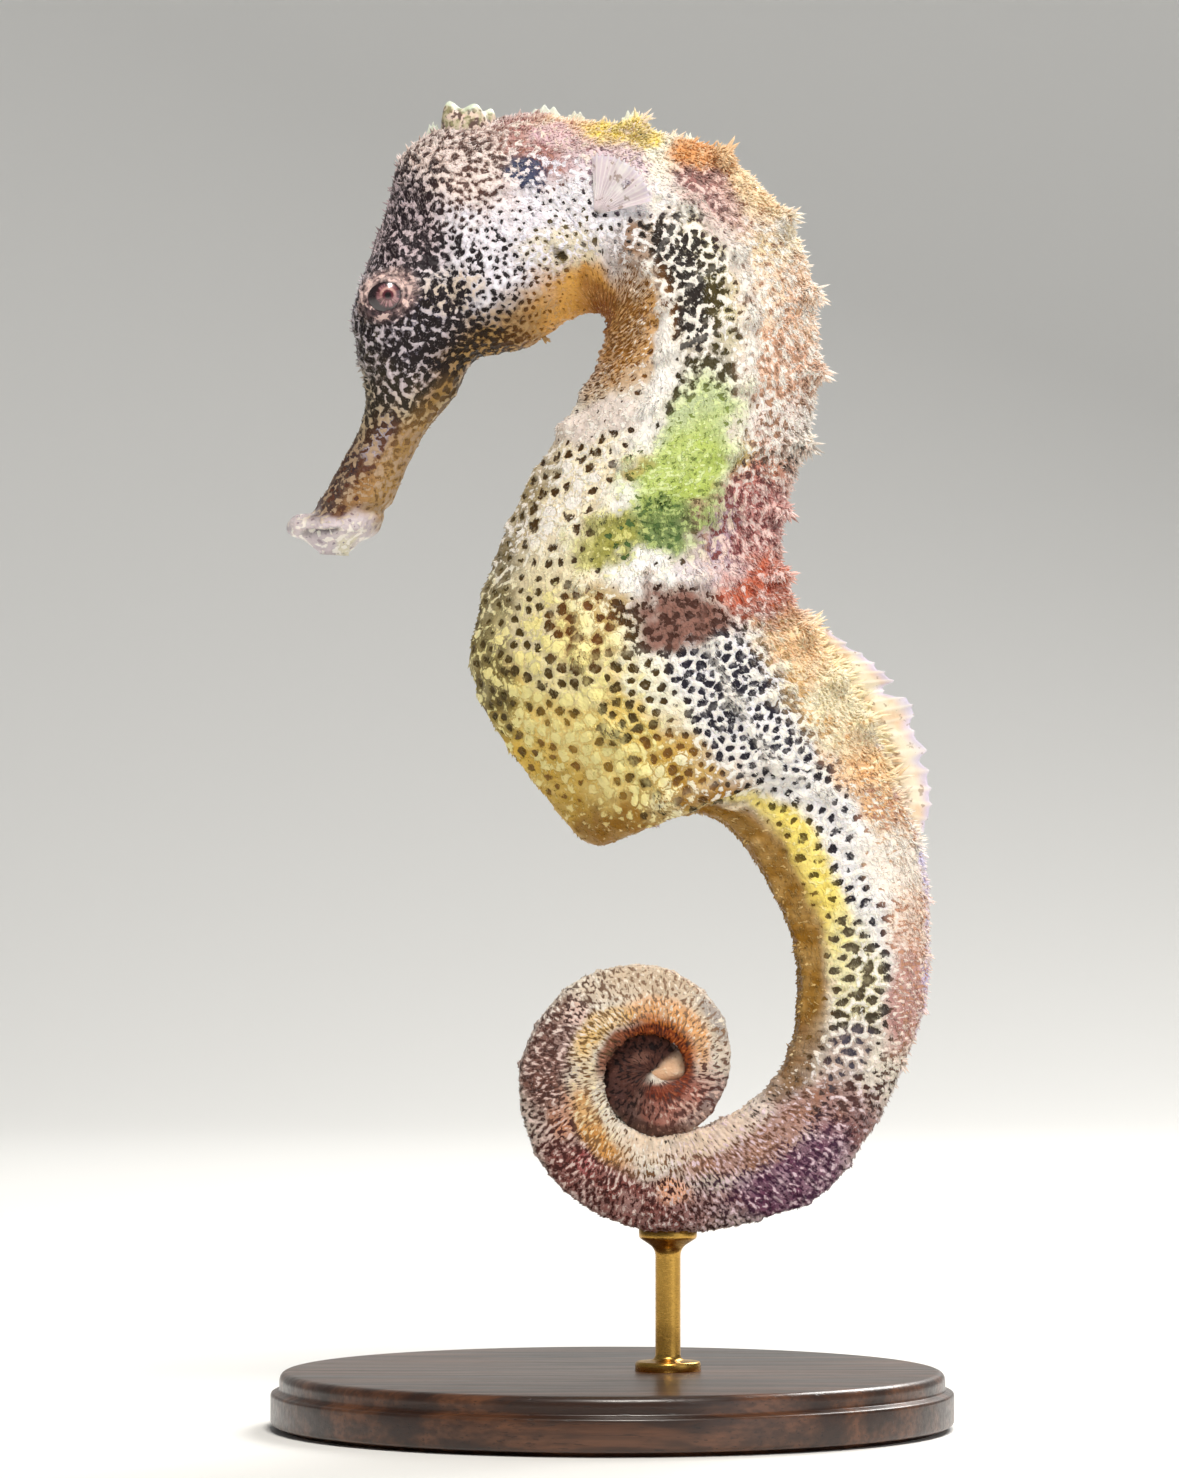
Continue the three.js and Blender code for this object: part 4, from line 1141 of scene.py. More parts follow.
def skin_corners(faces):
    """Place, girth and strip at every corner of the skin's quads, with the seam along the belly."""
    place = np.repeat(body.place[:, None], ROUND, 1).ravel()[faces]
    girth = body.girth.ravel()[faces]
    rear = np.repeat((place[:, :1] >= UNWRAP_SPLIT), 4, 1)
    on_left = (faces % ROUND).max(axis=1) > HALF_ROUND
    at_seam = (faces % ROUND) == HALF_ROUND
    girth = np.where(at_seam & on_left[:, None], -girth, girth)
    return place, girth, rear


# ---- materials ----


class Shader:
    """A material under construction: each call adds a node and gives back its output."""

    def __init__(self, name):
        self.material = bpy.data.materials.new(name)
        self.material.use_nodes = True
        self.tree = self.material.node_tree
        self.surface = self.tree.nodes["Principled BSDF"]

    def node(self, kind, inputs=None, output=0, **settings):
        """A node with its inputs fed and its settings set."""
        node = self.tree.nodes.new(kind)
        for key, value in settings.items():
            setattr(node, key, value)
        for key, value in (inputs or {}).items():
            self.feed(node.inputs[key], value)
        return node.outputs[output]

    def feed(self, socket, value):
        """Link a socket to an output, or give it a plain value."""
        if isinstance(value, bpy.types.NodeSocket):
            self.tree.links.new(value, socket)
        else:
            socket.default_value = value

    def set(self, **values):
        """Feed the surface's own inputs, with underscores in their names for spaces."""
        for key, value in values.items():
            self.feed(self.surface.inputs[key.replace("_", " ")], value)

    def attribute(self, name, output="Fac"):
        return self.node("ShaderNodeAttribute", output=output, attribute_name=name)

    def math(self, operation, a, b):
        return self.node("ShaderNodeMath", {0: a, 1: b}, operation=operation)

    def plus(self, a, b):
        return self.math("ADD", a, b)

    def minus(self, a, b):
        return self.math("SUBTRACT", a, b)

    def times(self, a, b):
        return self.math("MULTIPLY", a, b)

    def between(self, value, low, high, start=0.0, end=1.0):
        """A smooth step from `start` where the value is `low` to `end` where it is `high`."""
        inputs = {"Value": value, "From Min": low, "From Max": high, "To Min": start, "To Max": end}
        return self.node("ShaderNodeMapRange", inputs, interpolation_type="SMOOTHSTEP")

    def mix(self, factor, a, b, blend="MIX"):
        inputs = {0: factor, 6: a, 7: b}
        return self.node("ShaderNodeMix", inputs, output=2, data_type="RGBA", blend_type=blend)

    def blend(self, factor, a, b):
        """Mix of two values, as mix() is of two colours."""
        return self.node("ShaderNodeMix", {0: factor, 2: a, 3: b}, data_type="FLOAT")

    def scaled(self, vector, *scale):
        return self.node("ShaderNodeVectorMath", {0: vector, 1: scale}, operation="MULTIPLY")

    def added(self, vector, other):
        return self.node("ShaderNodeVectorMath", {0: vector, 1: other}, operation="ADD")

    def noise(self, vector, scale, detail=3.0, output="Fac"):
        inputs = {"Vector": vector, "Scale": scale, "Detail": detail}
        return self.node("ShaderNodeTexNoise", inputs, output=output)

    def voronoi(self, vector, scale, output="Distance"):
        inputs = {"Vector": vector, "Scale": scale}
        return self.node("ShaderNodeTexVoronoi", inputs, output=output)

    def bump(self, height, strength, distance):
        inputs = {"Height": height, "Strength": strength, "Distance": distance}
        return self.node("ShaderNodeBump", inputs)


def colour(code):
    """A hex code as a socket's colour."""
    return (*linear(code), 1.0)


STROKE_SCALE = (3.3, 1.8, 0.0)  # strokes to a millimetre along the body and round it


def hide_material(name, coat=False):
    """The painted hide: ground, dark spots, pale lines between them, and pale raised parts or tuft tips."""
    s = Shader(name)
    root = s.attribute("root", "Vector")
    ground, dark, pale = (s.attribute(field, "Color") for field in ("ground", "dark", "pale"))
    grain = s.noise(root, 1.9, 3.0)
    cells = s.plus(s.attribute("cell"), s.times(s.attribute("ragged"), s.between(grain, 0.25, 0.75, -1, 1)))
    lay = s.scaled(s.node("ShaderNodeUVMap", uv_map="Lay"), *STROKE_SCALE)
    lay = s.added(lay, s.scaled(s.noise(root, 1.0, 2.0, "Color"), 0.8, 0.8, 0.0))
    strokes = s.between(s.noise(lay, 1.0, 2.0), 0.30, 0.70)
    pattern = s.blend(s.attribute("strokes"), cells, strokes)
    bead = s.math("LESS_THAN", s.attribute("cell_kind"), s.attribute("domes"))
    reach = s.times(s.attribute("cover"), s.between(s.attribute("cell_kind"), 0, 1, 0.84, 1.14))
    reach = s.plus(reach, s.times(bead, BEAD_SPREAD))
    spot = s.between(s.minus(pattern, reach), -0.10, 0.03, 1.0, 0.0)
    net = s.between(s.plus(pattern, s.attribute("net")), 0.94, 1.06)
    tone = s.mix(s.between(s.noise(root, 0.55, 4.0), 0.35, 0.7, 0.0, 0.3), ground, pale)
    tone = s.mix(s.between(s.noise(root, 1.3, 4.0), 0.4, 0.75, 0.0, 0.3), tone, dark)
    stain = s.mix(s.between(grain, 0.45, 0.7, 0.0, 0.22), dark, ground)
    tone = s.mix(spot, tone, s.mix(bead, stain, pale))
    tone = s.mix(s.times(net, 0.9), tone, pale)
    # On the skin, raised parts are mixed towards the pale colour, partly their own pale and partly painted
    # highlight; on the coat, tuft tips are paler.
    rise = s.times(s.attribute("tip" if coat else "lift"), s.between(grain, 0.3, 0.6, 0.45, 0.95))
    tone = s.mix(rise, tone, pale)
    s.set(Base_Color=tone, Roughness=s.between(grain, 0.2, 0.8, 0.36, 0.54), Specular_IOR_Level=0.22)
    s.set(Subsurface_Weight=0.10, Subsurface_Scale=0.0007)
    s.set(Subsurface_Radius=(1.0, 0.55, 0.35))
    if not coat:
        pores = s.plus(s.noise(root, 6.0, 3.0), s.times(s.voronoi(root, 3.0), 0.7))
        height = s.minus(s.plus(pores, s.times(net, 0.9)), spot)
        s.set(Normal=s.bump(height, 0.8, 0.00009))
    return s.material


def eye_material():
    """Dark pupil in a fine pale ring, with mauve and dark streaks out to the lids, under a clear coat."""
    s = Shader("eye")
    radius = s.attribute("from_pupil")
    streaks = s.noise(s.attribute("around_pupil", "Vector"), 5.5, 4.0)
    iris = s.mix(s.between(streaks, 0.38, 0.62), colour("#4d2227"), colour("#a8757a"))
    iris = s.mix(s.between(radius, 0.78, 1.05), iris, colour("#241116"))
    wobble = s.plus(radius, s.between(streaks, 0.2, 0.8, -0.05, 0.05))
    ring = s.times(s.between(wobble, 0.40, 0.50), s.between(wobble, 0.56, 0.74, 1.0, 0.0))
    ring = s.times(ring, s.between(s.attribute("above_pupil"), -0.7, 0.8, 0.15, 0.75))
    tone = s.mix(ring, iris, colour("#d9a79a"))
    core = s.mix(s.between(radius, 0.16, 0.38), colour("#120607"), colour("#5d2530"))
    tone = s.mix(s.between(radius, 0.38, 0.46), core, tone)
    s.set(Base_Color=tone, Roughness=0.22, Coat_Weight=1.0, Coat_Roughness=0.03, Specular_IOR_Level=0.6)
    return s.material


def fin_material():
    """Thin skin between pale rays, warm at the foot and lilac at the edge."""
    s = Shader("fin")
    root = s.attribute("root", "Vector")
    clouds = s.between(s.noise(root, 0.45, 3.0), 0.40, 0.60)
    web = s.mix(clouds, s.attribute("web", "Color"), s.attribute("web_cloud", "Color"))
    web = s.mix(s.between(s.attribute("reach"), 0.70, 1.0, 0.0, 0.8), web, colour("#c3bce0"))
    tone = s.mix(s.times(s.attribute("ray"), 0.45), web, colour("#fdf8ee"))
    tone = s.mix(s.times(s.between(s.noise(root, 1.7, 2.0), 0.6, 0.68), 0.6), tone, colour("#7a5c38"))
    s.set(Base_Color=tone, Roughness=0.4, Specular_IOR_Level=0.3)
    s.set(Subsurface_Weight=0.25, Subsurface_Scale=0.0008)
    s.set(Subsurface_Radius=(1.0, 0.85, 0.75))
    s.set(Normal=s.bump(s.noise(root, 5.0, 3.0), 0.4, 0.00006))
    return s.material


def crown_material():
    """Clear, greenish skin of the coronet and the flaps behind it."""
    s = Shader("crown")
    root = s.attribute("root", "Vector")
    maze = s.mix(s.between(s.noise(root, 2.6, 3.0), 0.49, 0.55), colour("#e6cfc2"), colour("#6a524a"))
    maze = s.mix(s.between(s.noise(root, 1.2, 2.0), 0.45, 0.6, 0.0, 0.6), maze, colour("#b5b486"))
    edge = s.between(s.plus(s.attribute("reach"), s.noise(root, 2.0, 3.0)), 0.75, 1.2)
    tone = s.mix(edge, maze, colour("#dbe6cf"))
    s.set(Base_Color=tone, Roughness=0.35, Specular_IOR_Level=0.5)
    s.set(Subsurface_Weight=0.5, Subsurface_Scale=0.0012)
    s.set(Subsurface_Radius=(1.0, 0.95, 0.75))
    s.set(Normal=s.bump(s.noise(root, 4.0, 3.0), 0.5, 0.00008))
    return s.material


def wood_material():
    """Dark oiled walnut with its grain along X."""
    s = Shader("walnut")
    root = s.attribute("root", "Vector")
    straight = s.scaled(root, 0.03, 0.42, 0.42)
    bent = s.added(straight, s.scaled(s.noise(root, 0.03, 2.0, "Color"), 0.9, 0.9, 0.9))
    grain = s.noise(bent, 1.0, 6.0)
    lines = s.noise(s.scaled(bent, 1.5, 5.0, 5.0), 1.0, 3.0)
    pores = s.between(s.noise(s.scaled(root, 0.3, 6.0, 6.0), 1.0, 2.0), 0.60, 0.70)
    tone = s.mix(s.between(grain, 0.36, 0.66), colour("#321d12"), colour("#67412a"))
    tone = s.mix(s.between(lines, 0.35, 0.65, 0.0, 0.55), tone, colour("#24140c"))
    tone = s.mix(s.times(pores, 0.6), tone, colour("#150b06"))
    s.set(Base_Color=tone, Roughness=s.between(lines, 0.3, 0.7, 0.30, 0.40))
    s.set(Coat_Weight=0.25, Coat_Roughness=0.2)
    s.set(Normal=s.bump(s.minus(lines, pores), 0.25, 0.00008))
    return s.material


def brass_material():
    """Brushed brass, a little tarnished."""
    s = Shader("brass")
    root = s.attribute("root", "Vector")
    brushed = s.noise(s.scaled(root, 1.5, 1.5, 14.0), 1.5, 3.0)
    tarnish = s.between(s.noise(root, 0.35, 4.0), 0.45, 0.7)
    tone = s.mix(s.times(tarnish, 0.6), colour("#c69b4c"), colour("#7e5c28"))
    s.set(Base_Color=tone, Metallic=1.0, Roughness=s.between(brushed, 0.3, 0.7, 0.22, 0.38))
    s.set(Normal=s.bump(brushed, 0.15, 0.00003))
    return s.material


# ---- the skin ----

FLESH = """snout head neck trunk_upper trunk_middle trunk_lower tail_base tail_upper tail_middle tail_lower
tail_bend coil_bottom coil_front coil_top coil_back coil_inner tail_tip""".split()


def build_skin(material):
    """One skin for all the flesh: quads round the body and a fan of triangles at either end."""
    quads = grid_faces(len(body.place), ROUND, closed=True)[:, ::-1]
    place, girth, rear = skin_corners(quads)
    points = skin_points.reshape(-1, 3)
    ends = np.stack([skin_points[0].mean(axis=0), skin_points[-1].mean(axis=0)])
    around = np.arange(ROUND)
    beside = (around + 1) % ROUND
    last = (len(body.place) - 1) * ROUND
    caps = np.concatenate([
        np.stack([np.full(ROUND, len(points)), around, beside], 1)[:, ::-1],
        np.stack([np.full(ROUND, len(points) + 1), last + around, last + beside], 1),
    ])
    cap_place = np.where(caps[:, :1] < last, body.place[0], body.place[-1]) * np.ones(3)
    cap_girth = np.append(body.girth.ravel(), [0, 0])[caps]
    cap_rear = cap_place > UNWRAP_SPLIT
    lay = [np.stack([place.ravel(), girth.ravel()], 1), np.stack([cap_place.ravel(), cap_girth.ravel()], 1)]
    bake = [unwrap(place, girth, rear).reshape(-1, 2), unwrap(cap_place, cap_girth, cap_rear).reshape(-1, 2)]
    fields = {name: np.concatenate([values.reshape(-1, *values.shape[2:]), values[[0, -1], 0]])
              for name, values in skin_fields().items()}
    fields["root"][-2:] = ends
    piece = mesh_piece("skin", np.concatenate([points, ends]), [quads, caps],
                       {"OFBake": np.concatenate(bake), "Lay": np.concatenate(lay)}, fields)
    dress(piece, material, "skin", *FLESH)
    return piece


def skin_fields():
    """Everything that the hide's materials read, over the skin's grid."""
    return {"root": skin_points, **vars(marks)}


# ---- the coat ----

TUFT_LEVELS = [0.0, 0.45, 1.0]
TUFT_SIDES = 3
FILAMENT_LEVELS = [0.0, 0.2, 0.45, 0.72, 1.0]
FILAMENT_SIDES = 6
BACK_FILAMENT = 1.6  # length on the first ring's knobs
BACK_SHORTENING = 0.045  # from ring to ring
RUMP_FILAMENT = 2.3
TUFT_CURL = 0.25
TUFT_LENGTH = 0.17
BACK_LENGTH, RUMP_LENGTH, KNOB_LENGTH = 0.14, 0.06, 0.10  # how much longer they are there
BACK_CROWD, KNOB_CROWD, NET_CROWD = 1.8, 1.5, 1.2  # and how much more crowded
TUFT_LIE = 1.3  # how far they lie towards the tail
TUFT_WIDTH = 0.028
BAKE_PATCH = 0.0015  # half of a tuft's patch on the unwrap
COAT_PIECES = [  # name, first ring, last ring and number of tufts
    ("coat_face", -9, -2.8, 9000),
    ("coat_head", -2.8, 0.6, 14000),
    ("coat_neck", 0.6, 4.5, 14000),
    ("coat_chest", 4.5, 8, 14000),
    ("coat_belly", 8, 12, 14000),
    ("coat_tail", 12, 19, 12000),
    ("coat_coil", 19, 48, 12000),
]


def tufts(roots, normals, leans, lengths, widths, levels, sides):
    """Closed tapering tufts as points, faces, level of each point and its place round."""
    direction = unit(normals + leans)
    aside = unit(np.cross(direction, normals + [0.01, 0.02, 0.03]))
    other = np.cross(direction, aside)
    turns = [2 * math.pi * k / sides for k in range(sides)]
    points = []
    for level in levels[:-1]:
        bend = leans * (TUFT_CURL * lengths * level**2)[:, None]
        centre = roots + direction * (lengths * level)[:, None] + bend
        radius = (widths * (1 - level) ** 0.7)[:, None]
        points += [centre + (aside * math.cos(turn) + other * math.sin(turn)) * radius for turn in turns]
    points.append(roots + direction * lengths[:, None] + leans * (TUFT_CURL * lengths)[:, None])
    points.append(roots - normals * 0.05)
    heights = np.append(np.repeat(levels[:-1], sides), [1.0, 0.0])
    angles = np.append(np.tile(turns, len(levels) - 1), [0.0, 0.0])
    top, tip, foot = (len(levels) - 2) * sides, len(points) - 2, len(points) - 1
    quads, tris = [], []
    for k in range(sides):
        beside = (k + 1) % sides
        quads += [[low + k, low + beside, low + sides + beside, low + sides + k]
                  for low in range(0, top, sides)]
        tris += [[top + k, top + beside, tip], [beside, k, foot]]
    start = (np.arange(len(roots)) * len(points))[:, None, None]
    faces = [(start + np.array(group)).reshape(-1, len(group[0])) for group in (quads, tris)]
    return np.stack(points, 1), faces, heights, angles


def coat_piece(name, spots, lengths, widths, leans, material,
               levels=TUFT_LEVELS, sides=TUFT_SIDES, tips=(0.0, 0.5)):
    """Tufts rooted at places on the skin, each with its root's markings and paler towards its tip."""
    roots, normals = at(skin_points, spots), unit(at(outward, spots))
    points, faces, heights, angles = tufts(roots, normals, leans, lengths, widths, levels, sides)
    per = points.shape[1]
    fields = {field: np.repeat(at(values, spots), per, axis=0) for field, values in skin_fields().items()}
    fields["root"] = np.repeat(roots, per, axis=0)
    fields["tip"] = np.tile(tips[0] + (tips[1] - tips[0]) * heights, len(roots))
    place = at(np.repeat(body.place[:, None], ROUND, 1), spots)
    girth = at(body.girth, np.stack([spots[:, 0], np.floor(spots[:, 1])], 1))
    lay = np.repeat(np.stack([place, girth], 1), per, axis=0)
    patch = np.stack([np.cos(angles), np.sin(angles)], 1) * (BAKE_PATCH * (1 - heights))[:, None]
    bake = np.repeat(unwrap(place, girth, place >= UNWRAP_SPLIT), per, axis=0)
    bake = bake + np.tile(patch, (len(roots), 1))
    corners = np.concatenate([group.ravel() for group in faces])
    uvs = {"OFBake": bake[corners], "Lay": lay[corners]}
    piece = mesh_piece(name, points.reshape(-1, 3), faces, uvs, fields)
    dress(piece, material, "skin")
    return piece


def clear_of_eyes(spots, reach):
    """Whether each of the spots lies farther than `reach` from both eyes' axes."""
    where = at(skin_points, spots)
    return (eye_offset(where, EYE) > reach) | (np.abs(where[:, 1]) < 1.5)


def tuft_sizes(rng, spots):
    """Lengths and widths of the coat's tufts, and how far each of them belongs to the back."""
    at_ring, at_height = at(body.ring, spots), at(body.height, spots)
    back = smoothstep(0.45, 0.85, at_height) * smoothstep(-2.5, 0.5, at_ring)
    back *= 1 - 0.8 * smoothstep(12, 16, at_ring)
    rump = hump(at_ring - 9.5, 1.8) * back
    lengths = TUFT_LENGTH + BACK_LENGTH * back + RUMP_LENGTH * rump + KNOB_LENGTH * at(marks.lift, spots)
    lengths *= rng.uniform(0.6, 1.5, len(spots))
    lengths *= (1 - 0.25 * smoothstep(-2.5, -4.5, at_ring)) * (1 - 0.4 * smoothstep(16, 22, at_ring))
    lengths *= np.clip(at(np.repeat(body.half_depth, ROUND, 1), spots) / 3, 0.3, 1)
    return lengths, TUFT_WIDTH + lengths * rng.uniform(0.12, 0.20, len(spots)), back


def build_coat(material):
    """Fine papillae all over: longest on the back and the rump, shortest on the face and the coil."""
    rng = np.random.default_rng(21)
    areas = quad_areas(skin_points)
    ring, height = body.ring[:-1], body.height[:-1]
    crowd = 1 + BACK_CROWD * smoothstep(0.35, 0.75, height)
    crowd = crowd + KNOB_CROWD * marks.lift[:-1] + NET_CROWD * marks.net[:-1]
    crowd = crowd * smoothstep(-7.3, -6.5, ring) * np.where((ring < 3) & (height < -0.6), 0.3, 1)
    for name, first, last, wanted in COAT_PIECES:
        spots = sample(rng, areas * crowd * ((ring >= first) & (ring < last)), wanted)
        spots = spots[clear_of_eyes(spots, 2.0)]
        lengths, widths, back = tuft_sizes(rng, spots)
        leans = at(along, spots) * (TUFT_LIE - 0.6 * back)[:, None] + at(upward, spots) * 0.3
        leans += rng.normal(0, 0.4, leans.shape)
        coat_piece(name, spots, lengths, widths, leans, material)


class Fringe:
    """Filaments planted in clusters at rings and places round the body."""

    def __init__(self):
        self.rng = np.random.default_rng(31)
        self.spots = []
        self.lengths = []

    def plant(self, ring, turn, count, spread, length):
        """A cluster at a ring and a place round, spread out over so many millimetres."""
        row = np.interp(ring, body.ring[:, 0], np.arange(len(body.place)))
        loops = np.clip(row + self.rng.normal(0, spread / STATION, count), 1, len(body.place) - 3)
        rounds = (turn + self.rng.normal(0, spread * 5, count)) % ROUND
        self.spots.extend(zip(loops, rounds))
        self.lengths.extend(length * self.rng.uniform(0.7, 1.0, count))

    def both(self, ring, turn, count, spread, length):
        """The same on the right and the left."""
        self.plant(ring, turn, count, spread, length)
        self.plant(ring, ROUND - turn, count, spread, length)


def build_fringe(material):
    """Longer filaments on the knobs and ridges, the crown, the brow and the chin, longest on the rump."""
    fringe = Fringe()
    for ring in range(17):
        length = BACK_FILAMENT - BACK_SHORTENING * ring
        fringe.both(ring + 0.5, SUPERIOR, 3, 0.10, length)
        fringe.both(ring + 0.5, SUPERIOR, 5, 0.40, 0.7 * length)
        fringe.both(ring + 0.15, SUPERIOR - 4, 3, 0.35, 0.55 * length)
        fringe.both(ring + 0.85, SUPERIOR - 4, 3, 0.35, 0.55 * length)
        fringe.plant(ring + 0.5, 0, 8, 1.2, 0.6 * length)
        fringe.both(ring + 0.5, LATERAL, 4, 0.35, 0.50)
        fringe.both(ring + 0.5, INFERIOR, 3, 0.35, 0.40)
    for ring in (6.25, 7.45):
        fringe.both(ring, LATERAL + 12, 14, 0.45, 0.60)
    for ring in np.arange(-2.8, 0.2, 0.35):
        fringe.plant(ring, 0, 6, 0.8, 0.65)
        fringe.both(ring, SUPERIOR, 4, 0.6, 0.60)
    for ring in np.arange(-5.2, -3.0, 0.35):
        fringe.plant(ring, 0, 6, 0.6, 0.45)
        fringe.both(ring, SUPERIOR - 6, 3, 0.5, 0.42)
    fringe.plant(-3.07, HALF_ROUND, 12, 0.12, 0.75)
    for ring in np.arange(8.2, 12.8, 0.25):
        worn = 1 - 0.6 * smoothstep(11.3, 12.3, ring)
        fringe.both(ring, 3, 5, 0.25, RUMP_FILAMENT * worn)
        fringe.both(ring, 8, 6, 0.3, 1.5 * worn)
        fringe.both(ring, 16, 6, 0.4, 0.9)
    spots, lengths = np.array(fringe.spots), np.array(fringe.lengths)
    keep = clear_of_eyes(spots, 1.9)
    spots, lengths = spots[keep], lengths[keep]
    leans = at(along, spots) * 0.25 + fringe.rng.normal(0, 0.22, (len(spots), 3))
    widths = 0.06 + 0.10 * lengths
    coat_piece("fringe", spots, lengths, widths, leans, material,
               FILAMENT_LEVELS, FILAMENT_SIDES, tips=(0.5, 1.0))


# ---- eyes ----


def build_eye(node, side, material):
    """An eyeball turned outwards, with a slightly raised cornea."""
    radius = eye_radius(node)
    turns, rings = 72, 56
    polar = np.linspace(0, math.pi, rings)[:, None]
    angle = (2 * math.pi * np.arange(turns) / turns)[None]
    shell = radius * 0.985 + 0.05 * hump(radius * np.sin(polar), 0.8) * (polar < 1.5)
    away = np.stack([np.sin(polar) * np.cos(angle), side * np.cos(polar) * np.ones_like(angle),
                     np.sin(polar) * np.sin(angle)], -1)
    points = eye_centre(node) + away * shell[..., None]
    faces = grid_faces(rings, turns, closed=True)
    faces = faces if side < 0 else faces[:, ::-1]
    fields = {
        "from_pupil": np.repeat(radius * np.sin(np.minimum(polar, math.pi / 2)), turns, 1).ravel(),
        "around_pupil": np.stack([np.broadcast_to(np.cos(angle), (rings, turns)),
                                  np.broadcast_to(np.sin(angle), (rings, turns)),
                                  np.broadcast_to(0.25 * polar, (rings, turns))], -1).reshape(-1, 3),
        "above_pupil": np.broadcast_to(np.sin(angle), (rings, turns)).ravel(),
    }
    piece = mesh_piece(f"eyeball_{node}", points.reshape(-1, 3), faces, fields=fields)
    dress(piece, material, "eye", node)


# ---- fins and crown ----


def slab(name, sheet, half, fields):
    """A closed thin plate between two grids of points, the sheets `half` before and behind the middle."""
    front, back = (np.stack(np.broadcast_arrays(*sheet(offset)), -1) for offset in (-half, half))
    rows, columns = front.shape[:2]
    count = rows * columns
    face = grid_faces(rows, columns)
    index = np.arange(count).reshape(rows, columns)
    border = np.concatenate([index[0], index[1:, -1], index[-1, -2::-1], index[-2:0:-1, 0]])
    beside = np.roll(border, -1)
    rim = np.stack([border, border + count, beside + count, beside], 1)
    points = np.concatenate([front.reshape(-1, 3), back.reshape(-1, 3)])
    doubled = {key: np.concatenate([value.reshape(-1, *value.shape[2:])] * 2)
               for key, value in fields.items()}
    doubled["root"] = points
    return mesh_piece(name, points, [face, face[:, ::-1] + count, rim], fields=doubled)


def sheet_grid(columns, rows, start=0):
    """Shares across a sheet, from `start` to 1, and shares up it, from 0 to 1."""
    return np.linspace(start, 1, columns)[None], np.linspace(0, 1, rows)[:, None]


def ray_lines(share, rays, sharpness):
    """1 along each of a fin's rays and 0 between them."""
    return np.abs(np.cos(math.pi * rays * share)) ** sharpness


def fin_fields(ray, reach, share, web, cloud):
    """Where a fin's rays and edge are, and the colours of its web."""
    every = np.ones((len(reach), share.shape[1], 1))
    return {"ray": ray * np.ones_like(reach), "reach": reach * np.ones_like(share),
            "web": every * linear(web), "web_cloud": every * linear(cloud)}


FIRST_FIN_RING, LAST_FIN_RING = 8.2, 12.3
FIN_RAYS = 17
FIN_HEIGHT = 3.4
FIN_ROOT = 1.2  # how deep the foot lies in the back
FIN_LEAN = 0.12  # towards the tail, over its height
FIN_WAVES = 5
FIN_WAVE = 0.28
RAY_TIP = 0.25  # how far the rays reach past the web


def build_dorsal_fin(material):
    """The fan on the back: its rays lean towards the tail and end in free tips."""
    share, reach = sheet_grid(FIN_RAYS * 10 + 1, 22)
    ray = ray_lines(share, FIN_RAYS, 10)
    foot_ring = FIRST_FIN_RING + (LAST_FIN_RING - FIRST_FIN_RING) * share[0]
    middle, up, half_depth, _, _ = frames_at(ring_place(foot_ring))
    along_back = np.stack([up[:, 1], -up[:, 0]], 1)
    foot = middle + up * (half_depth - FIN_ROOT)[:, None]
    arch = np.sin(math.pi * np.clip(share * 0.94 + 0.03, 0, 1)) ** 0.5
    foot_points = share[0][:, None] * [1, 0, 0]
    worn = 1 + 0.20 * noise(foot_points, 0.11) + 0.16 * noise(foot_points, 0.035, 4)
    tall = ((FIN_HEIGHT - RAY_TIP + 1.0) * arch + RAY_TIP * ray) * np.minimum(worn, 1.06)[None] + 0.2
    lean = FIN_LEAN * tall * reach**1.5
    flat = foot[None] + up[None] * (tall * reach)[..., None] + along_back[None] * lean[..., None]
    wave = FIN_WAVE * np.sin(2 * math.pi * FIN_WAVES * share + 2 * reach) * reach * arch
    half = (0.06 + 0.10 * ray) * (1 - 0.65 * reach)
    fields = fin_fields(ray, reach, share, "#f0e2c6", "#e6c29c")
    piece = slab("dorsal_fan", lambda offset: (flat[..., 0], wave + offset, flat[..., 1]), half, fields)
    dress(piece, material, "fin", "dorsal_fin")


PECTORAL_X, PECTORAL_Y, PECTORAL_Z = -1.4, 5.0, 95.6
PECTORAL_RAYS = 15
PECTORAL_LENGTH = 5.0
PECTORAL_SPREAD = math.radians(80)
PECTORAL_TURN = math.radians(52)
PECTORAL_FLARE = math.radians(9)  # how far it is held out from the neck


def build_pectoral_fin(node, side, material):
    """A rounded fan behind the gill opening, held a little out from the neck."""
    share, reach = sheet_grid(PECTORAL_RAYS * 8 + 1, 20)
    ray = ray_lines(share, PECTORAL_RAYS, 8)
    angle = PECTORAL_SPREAD * (0.5 - share)
    edge = PECTORAL_LENGTH * (0.8 + 0.2 * np.cos(angle)) - RAY_TIP + RAY_TIP * ray
    span = edge * (0.06 + 0.94 * reach)
    forwards, upwards = span * np.cos(angle + PECTORAL_TURN), span * np.sin(angle + PECTORAL_TURN)
    cup = 0.22 * np.sin(2 * math.pi * 3 * share) * reach + 0.35 * reach**2
    half = (0.05 + 0.07 * ray) * (1 - 0.6 * reach)

    def sheet(offset):
        out = cup + offset
        return (PECTORAL_X + forwards * math.cos(PECTORAL_FLARE) - out * math.sin(PECTORAL_FLARE),
                side * (PECTORAL_Y + forwards * math.sin(PECTORAL_FLARE) + out * math.cos(PECTORAL_FLARE)),
                PECTORAL_Z + upwards)

    fields = fin_fields(ray, 0.84 * reach, share, "#f3ebe8", "#dccad0")
    piece = slab(f"fan_{node}", sheet, half * side, fields)
    dress(piece, material, "fin", node)


CROWN_LOBES = 5
CROWN_FOOT = 102.7
CROWN_SINK = 0.25  # how deep it stands in the head
CROWN_RIM = 0.6  # where the rim lies on the way up its wall and down into its bowl
CROWN_TILT = 0.16


